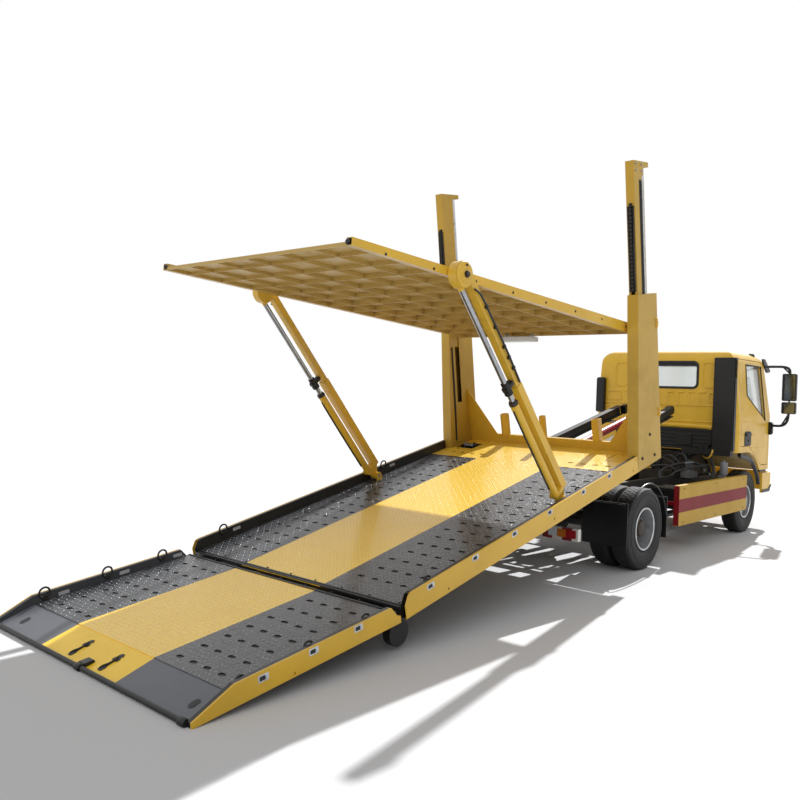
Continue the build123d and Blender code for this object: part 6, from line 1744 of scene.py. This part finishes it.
def guard_fittings(side, word):
    """Folded end plate and flush screws of a side guard."""
    low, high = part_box("side_guards")
    face = 1.080 * side
    shape = bmesh.new()
    for share in (0.06, 0.50, 0.94):
        x = low.x + (high.x - low.x) * share
        for z in (low.z + 0.035, high.z - 0.035):
            spot = at(x, face, z) @ turned("X", -90 * side)
            add_turned(shape, spot, ((0, 0), (0.009, 0), (0.009, 0.002), (0.004, 0.0035), (0, 0.0035)), 12)
    fit(shape, f"guard_screws_{word}", "cast iron with oil", "chassis")
    end = bmesh.new()
    inner = 1.020
    y = (inner, 1.0795) if side > 0 else (-1.0795, -inner)
    add_block(end, Matrix.Identity(4), (low.x - 0.004, low.x + 0.003), y, (low.z + 0.004, high.z - 0.004),
              0.0015)
    fit(end, f"guard_end_{word}", "guard end red", "chassis")


def beam_caps():
    """Rounded rubber-edged caps at the front ends of the tilt frame's beams, and their rivets."""
    outline = ((2.192, -0.128), (2.300, -0.128), (2.335, -0.112), (2.348, -0.072), (2.335, -0.030),
               (2.300, -0.014), (2.192, -0.014))
    for side, word in SIDES:
        shape = bmesh.new()
        y = 0.300 * side
        add_outline(shape, deck @ at(0, y - 0.037, 0), outline, 0.074, 0.010)
        for s in (2.22, 2.28):
            add_bolt(shape, deck @ at(s, y, -0.0165), 0.0035)
        fit(shape, f"beam_cap_{word}", "black moulded polypropylene", "tilting_frame")


def flap_fittings():
    """Stiffening bars of the mudflaps, and rolled edges of the mudguards."""
    low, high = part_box("mudguards")
    shape = bmesh.new()
    for side, _ in SIDES:
        line = [(0.452 * math.cos(math.radians(a)), 1.078 * side,
                 wheel_z + 0.452 * math.sin(math.radians(a))) for a in range(14, 167, 8)]
        add_tube(shape, truck, line, 0.008, 8, 1)
        for x in (low.x - axle_x + 0.006, high.x - axle_x - 0.006):
            add_block(shape, truck @ at(x, 0.86 * side, 0.660), (-0.008, 0.008), (-0.205, 0.205),
                      (-0.020, 0.020), 0.002)
    fit(shape, "mudguard_edges", "black moulded polypropylene", "chassis")


class TRUCK_OT_chassis(bpy.types.Operator):
    """Adds tanks, battery cover, exhaust, lamps, hoses, guards' ends and axle fittings"""
    bl_idname = "truck.chassis"
    bl_label = "Fittings of the chassis"

    def execute(self, context):
        tank("air_tank_front", (1.30, 1.90), 0.230, 0.500, 0.105)
        tank("air_tank_rear", (0.42, 0.84), -0.600, 0.500, 0.100)
        fuel_tank_fittings()
        battery_box()
        exhaust()
        axle_fittings()
        pump_and_valves()
        beam_caps()
        flap_fittings()
        for side, word in SIDES:
            tail_lamps(side, word)
            guard_fittings(side, word)
        return {"FINISHED"}


class TRUCK_OT_stage(bpy.types.Operator):
    """Pale floor, soft studio light and the photograph's camera"""
    bl_idname = "truck.stage"
    bl_label = "Stage"

    def execute(self, context):
        scene = context.scene
        sky_power = 0.46
        floor_mesh = bpy.data.meshes.new("studio_floor")
        reach = 60.0
        corners = [(-reach, -reach, 0), (reach, -reach, 0), (reach, reach, 0), (-reach, reach, 0)]
        floor_mesh.from_pydata(corners, [], [(0, 1, 2, 3)])
        floor = bpy.data.objects.new("studio_floor", floor_mesh)
        scene.collection.objects.link(floor)
        material, tree, shader = start_material("pale studio floor", Roughness=0.9)
        shader.inputs["Specular IOR Level"].default_value = 0.1
        shader.inputs["Base Color"].default_value = linear_colour("#CBCBCC")
        floor_mesh.materials.append(material)
        world = bpy.data.worlds.new("studio")
        scene.world = world
        world.use_nodes = True
        background = world.node_tree.nodes["Background"]
        # The backdrop shows white, and lights the truck less than it shows, so that shade stays deep.
        path = add_node(world.node_tree, "ShaderNodeLightPath")
        seen = sum_of(world.node_tree, "MAXIMUM", path.outputs["Is Camera Ray"],
                      path.outputs["Is Glossy Ray"])
        seen = sum_of(world.node_tree, "MAXIMUM", seen, path.outputs["Is Transmission Ray"])
        strength = sum_of(world.node_tree, "MULTIPLY_ADD", seen, 1.0 - sky_power, sky_power)
        world.node_tree.links.new(strength, background.inputs["Strength"])
        background.inputs["Color"].default_value = (1.0, 1.0, 1.0, 1.0)
        for name, power, way, angle in (("key light", 5.4, (-1.13, -0.241, -1.0), 0.8),
                                        ("fill light", 0.85, (0.62, 0.30, -0.72), 60.0)):
            lamp = bpy.data.lights.new(name, "SUN")
            lamp.energy = power
            lamp.angle = math.radians(angle)
            light = bpy.data.objects.new(name, lamp)
            light.rotation_euler = Vector(way).to_track_quat("-Z", "Y").to_euler()
            scene.collection.objects.link(light)
        scene.view_settings.view_transform = "Standard"
        scene.view_settings.look = "None"
        self.add_camera(scene)
        return {"FINISHED"}

    def add_camera(self, scene):
        """Camera matched to the photograph: place, heading, dip, roll and lens."""
        heading, dip, roll = 0.723, 0.009, 0.036
        level = Vector((math.cos(heading), math.sin(heading), 0))
        right = Vector((math.sin(heading), -math.cos(heading), 0))
        ahead = level * math.cos(dip) - Vector((0, 0, math.sin(dip)))
        above = level * math.sin(dip) + Vector((0, 0, math.cos(dip)))
        turned_right = right * math.cos(roll) + above * math.sin(roll)
        turned_up = above * math.cos(roll) - right * math.sin(roll)
        lens = bpy.data.cameras.new("camera")
        lens.lens = 35.82
        lens.sensor_width = 36.0
        lens.clip_end = 200.0
        camera = bpy.data.objects.new("camera", lens)
        turn = Matrix((turned_right, turned_up, -ahead)).transposed().to_4x4()
        camera.matrix_world = at(axle_x - 7.533, -4.409, 1.663) @ turn
        scene.collection.objects.link(camera)
        scene.camera = camera


OPERATORS = [TRUCK_OT_finishes, TRUCK_OT_rail_fittings, TRUCK_OT_ramp_fittings, TRUCK_OT_masts,
             TRUCK_OT_struts, TRUCK_OT_upper_deck, TRUCK_OT_wheels, TRUCK_OT_cab_outside,
             TRUCK_OT_cab_inside, TRUCK_OT_chassis, TRUCK_OT_stage]


class TRUCK_PT_panel(bpy.types.Panel):
    """Lists what the truck is made from"""
    bl_label = "Recovery truck"
    bl_idname = "TRUCK_PT_panel"
    bl_space_type = "VIEW_3D"
    bl_region_type = "UI"
    bl_category = "Truck"

    def draw(self, context):
        for group in (context.scene.truck_sizes, context.scene.truck_colours):
            for name in group.__annotations__:
                self.layout.prop(group, name)
        for operator in OPERATORS:
            self.layout.operator(operator.bl_idname)


CLASSES = [TruckSizes, TruckColours, *OPERATORS, TRUCK_PT_panel]


def register():
    for entry in CLASSES:
        bpy.utils.register_class(entry)
    bpy.types.Scene.truck_sizes = PointerProperty(type=TruckSizes)
    bpy.types.Scene.truck_colours = PointerProperty(type=TruckColours)


def unregister():
    del bpy.types.Scene.truck_colours
    del bpy.types.Scene.truck_sizes
    for entry in reversed(CLASSES):
        bpy.utils.unregister_class(entry)


def main():
    register()
    for operator in OPERATORS:
        group, name = operator.bl_idname.split(".")
        getattr(getattr(bpy.ops, group), name)()


if __name__ == "__main__":
    main()
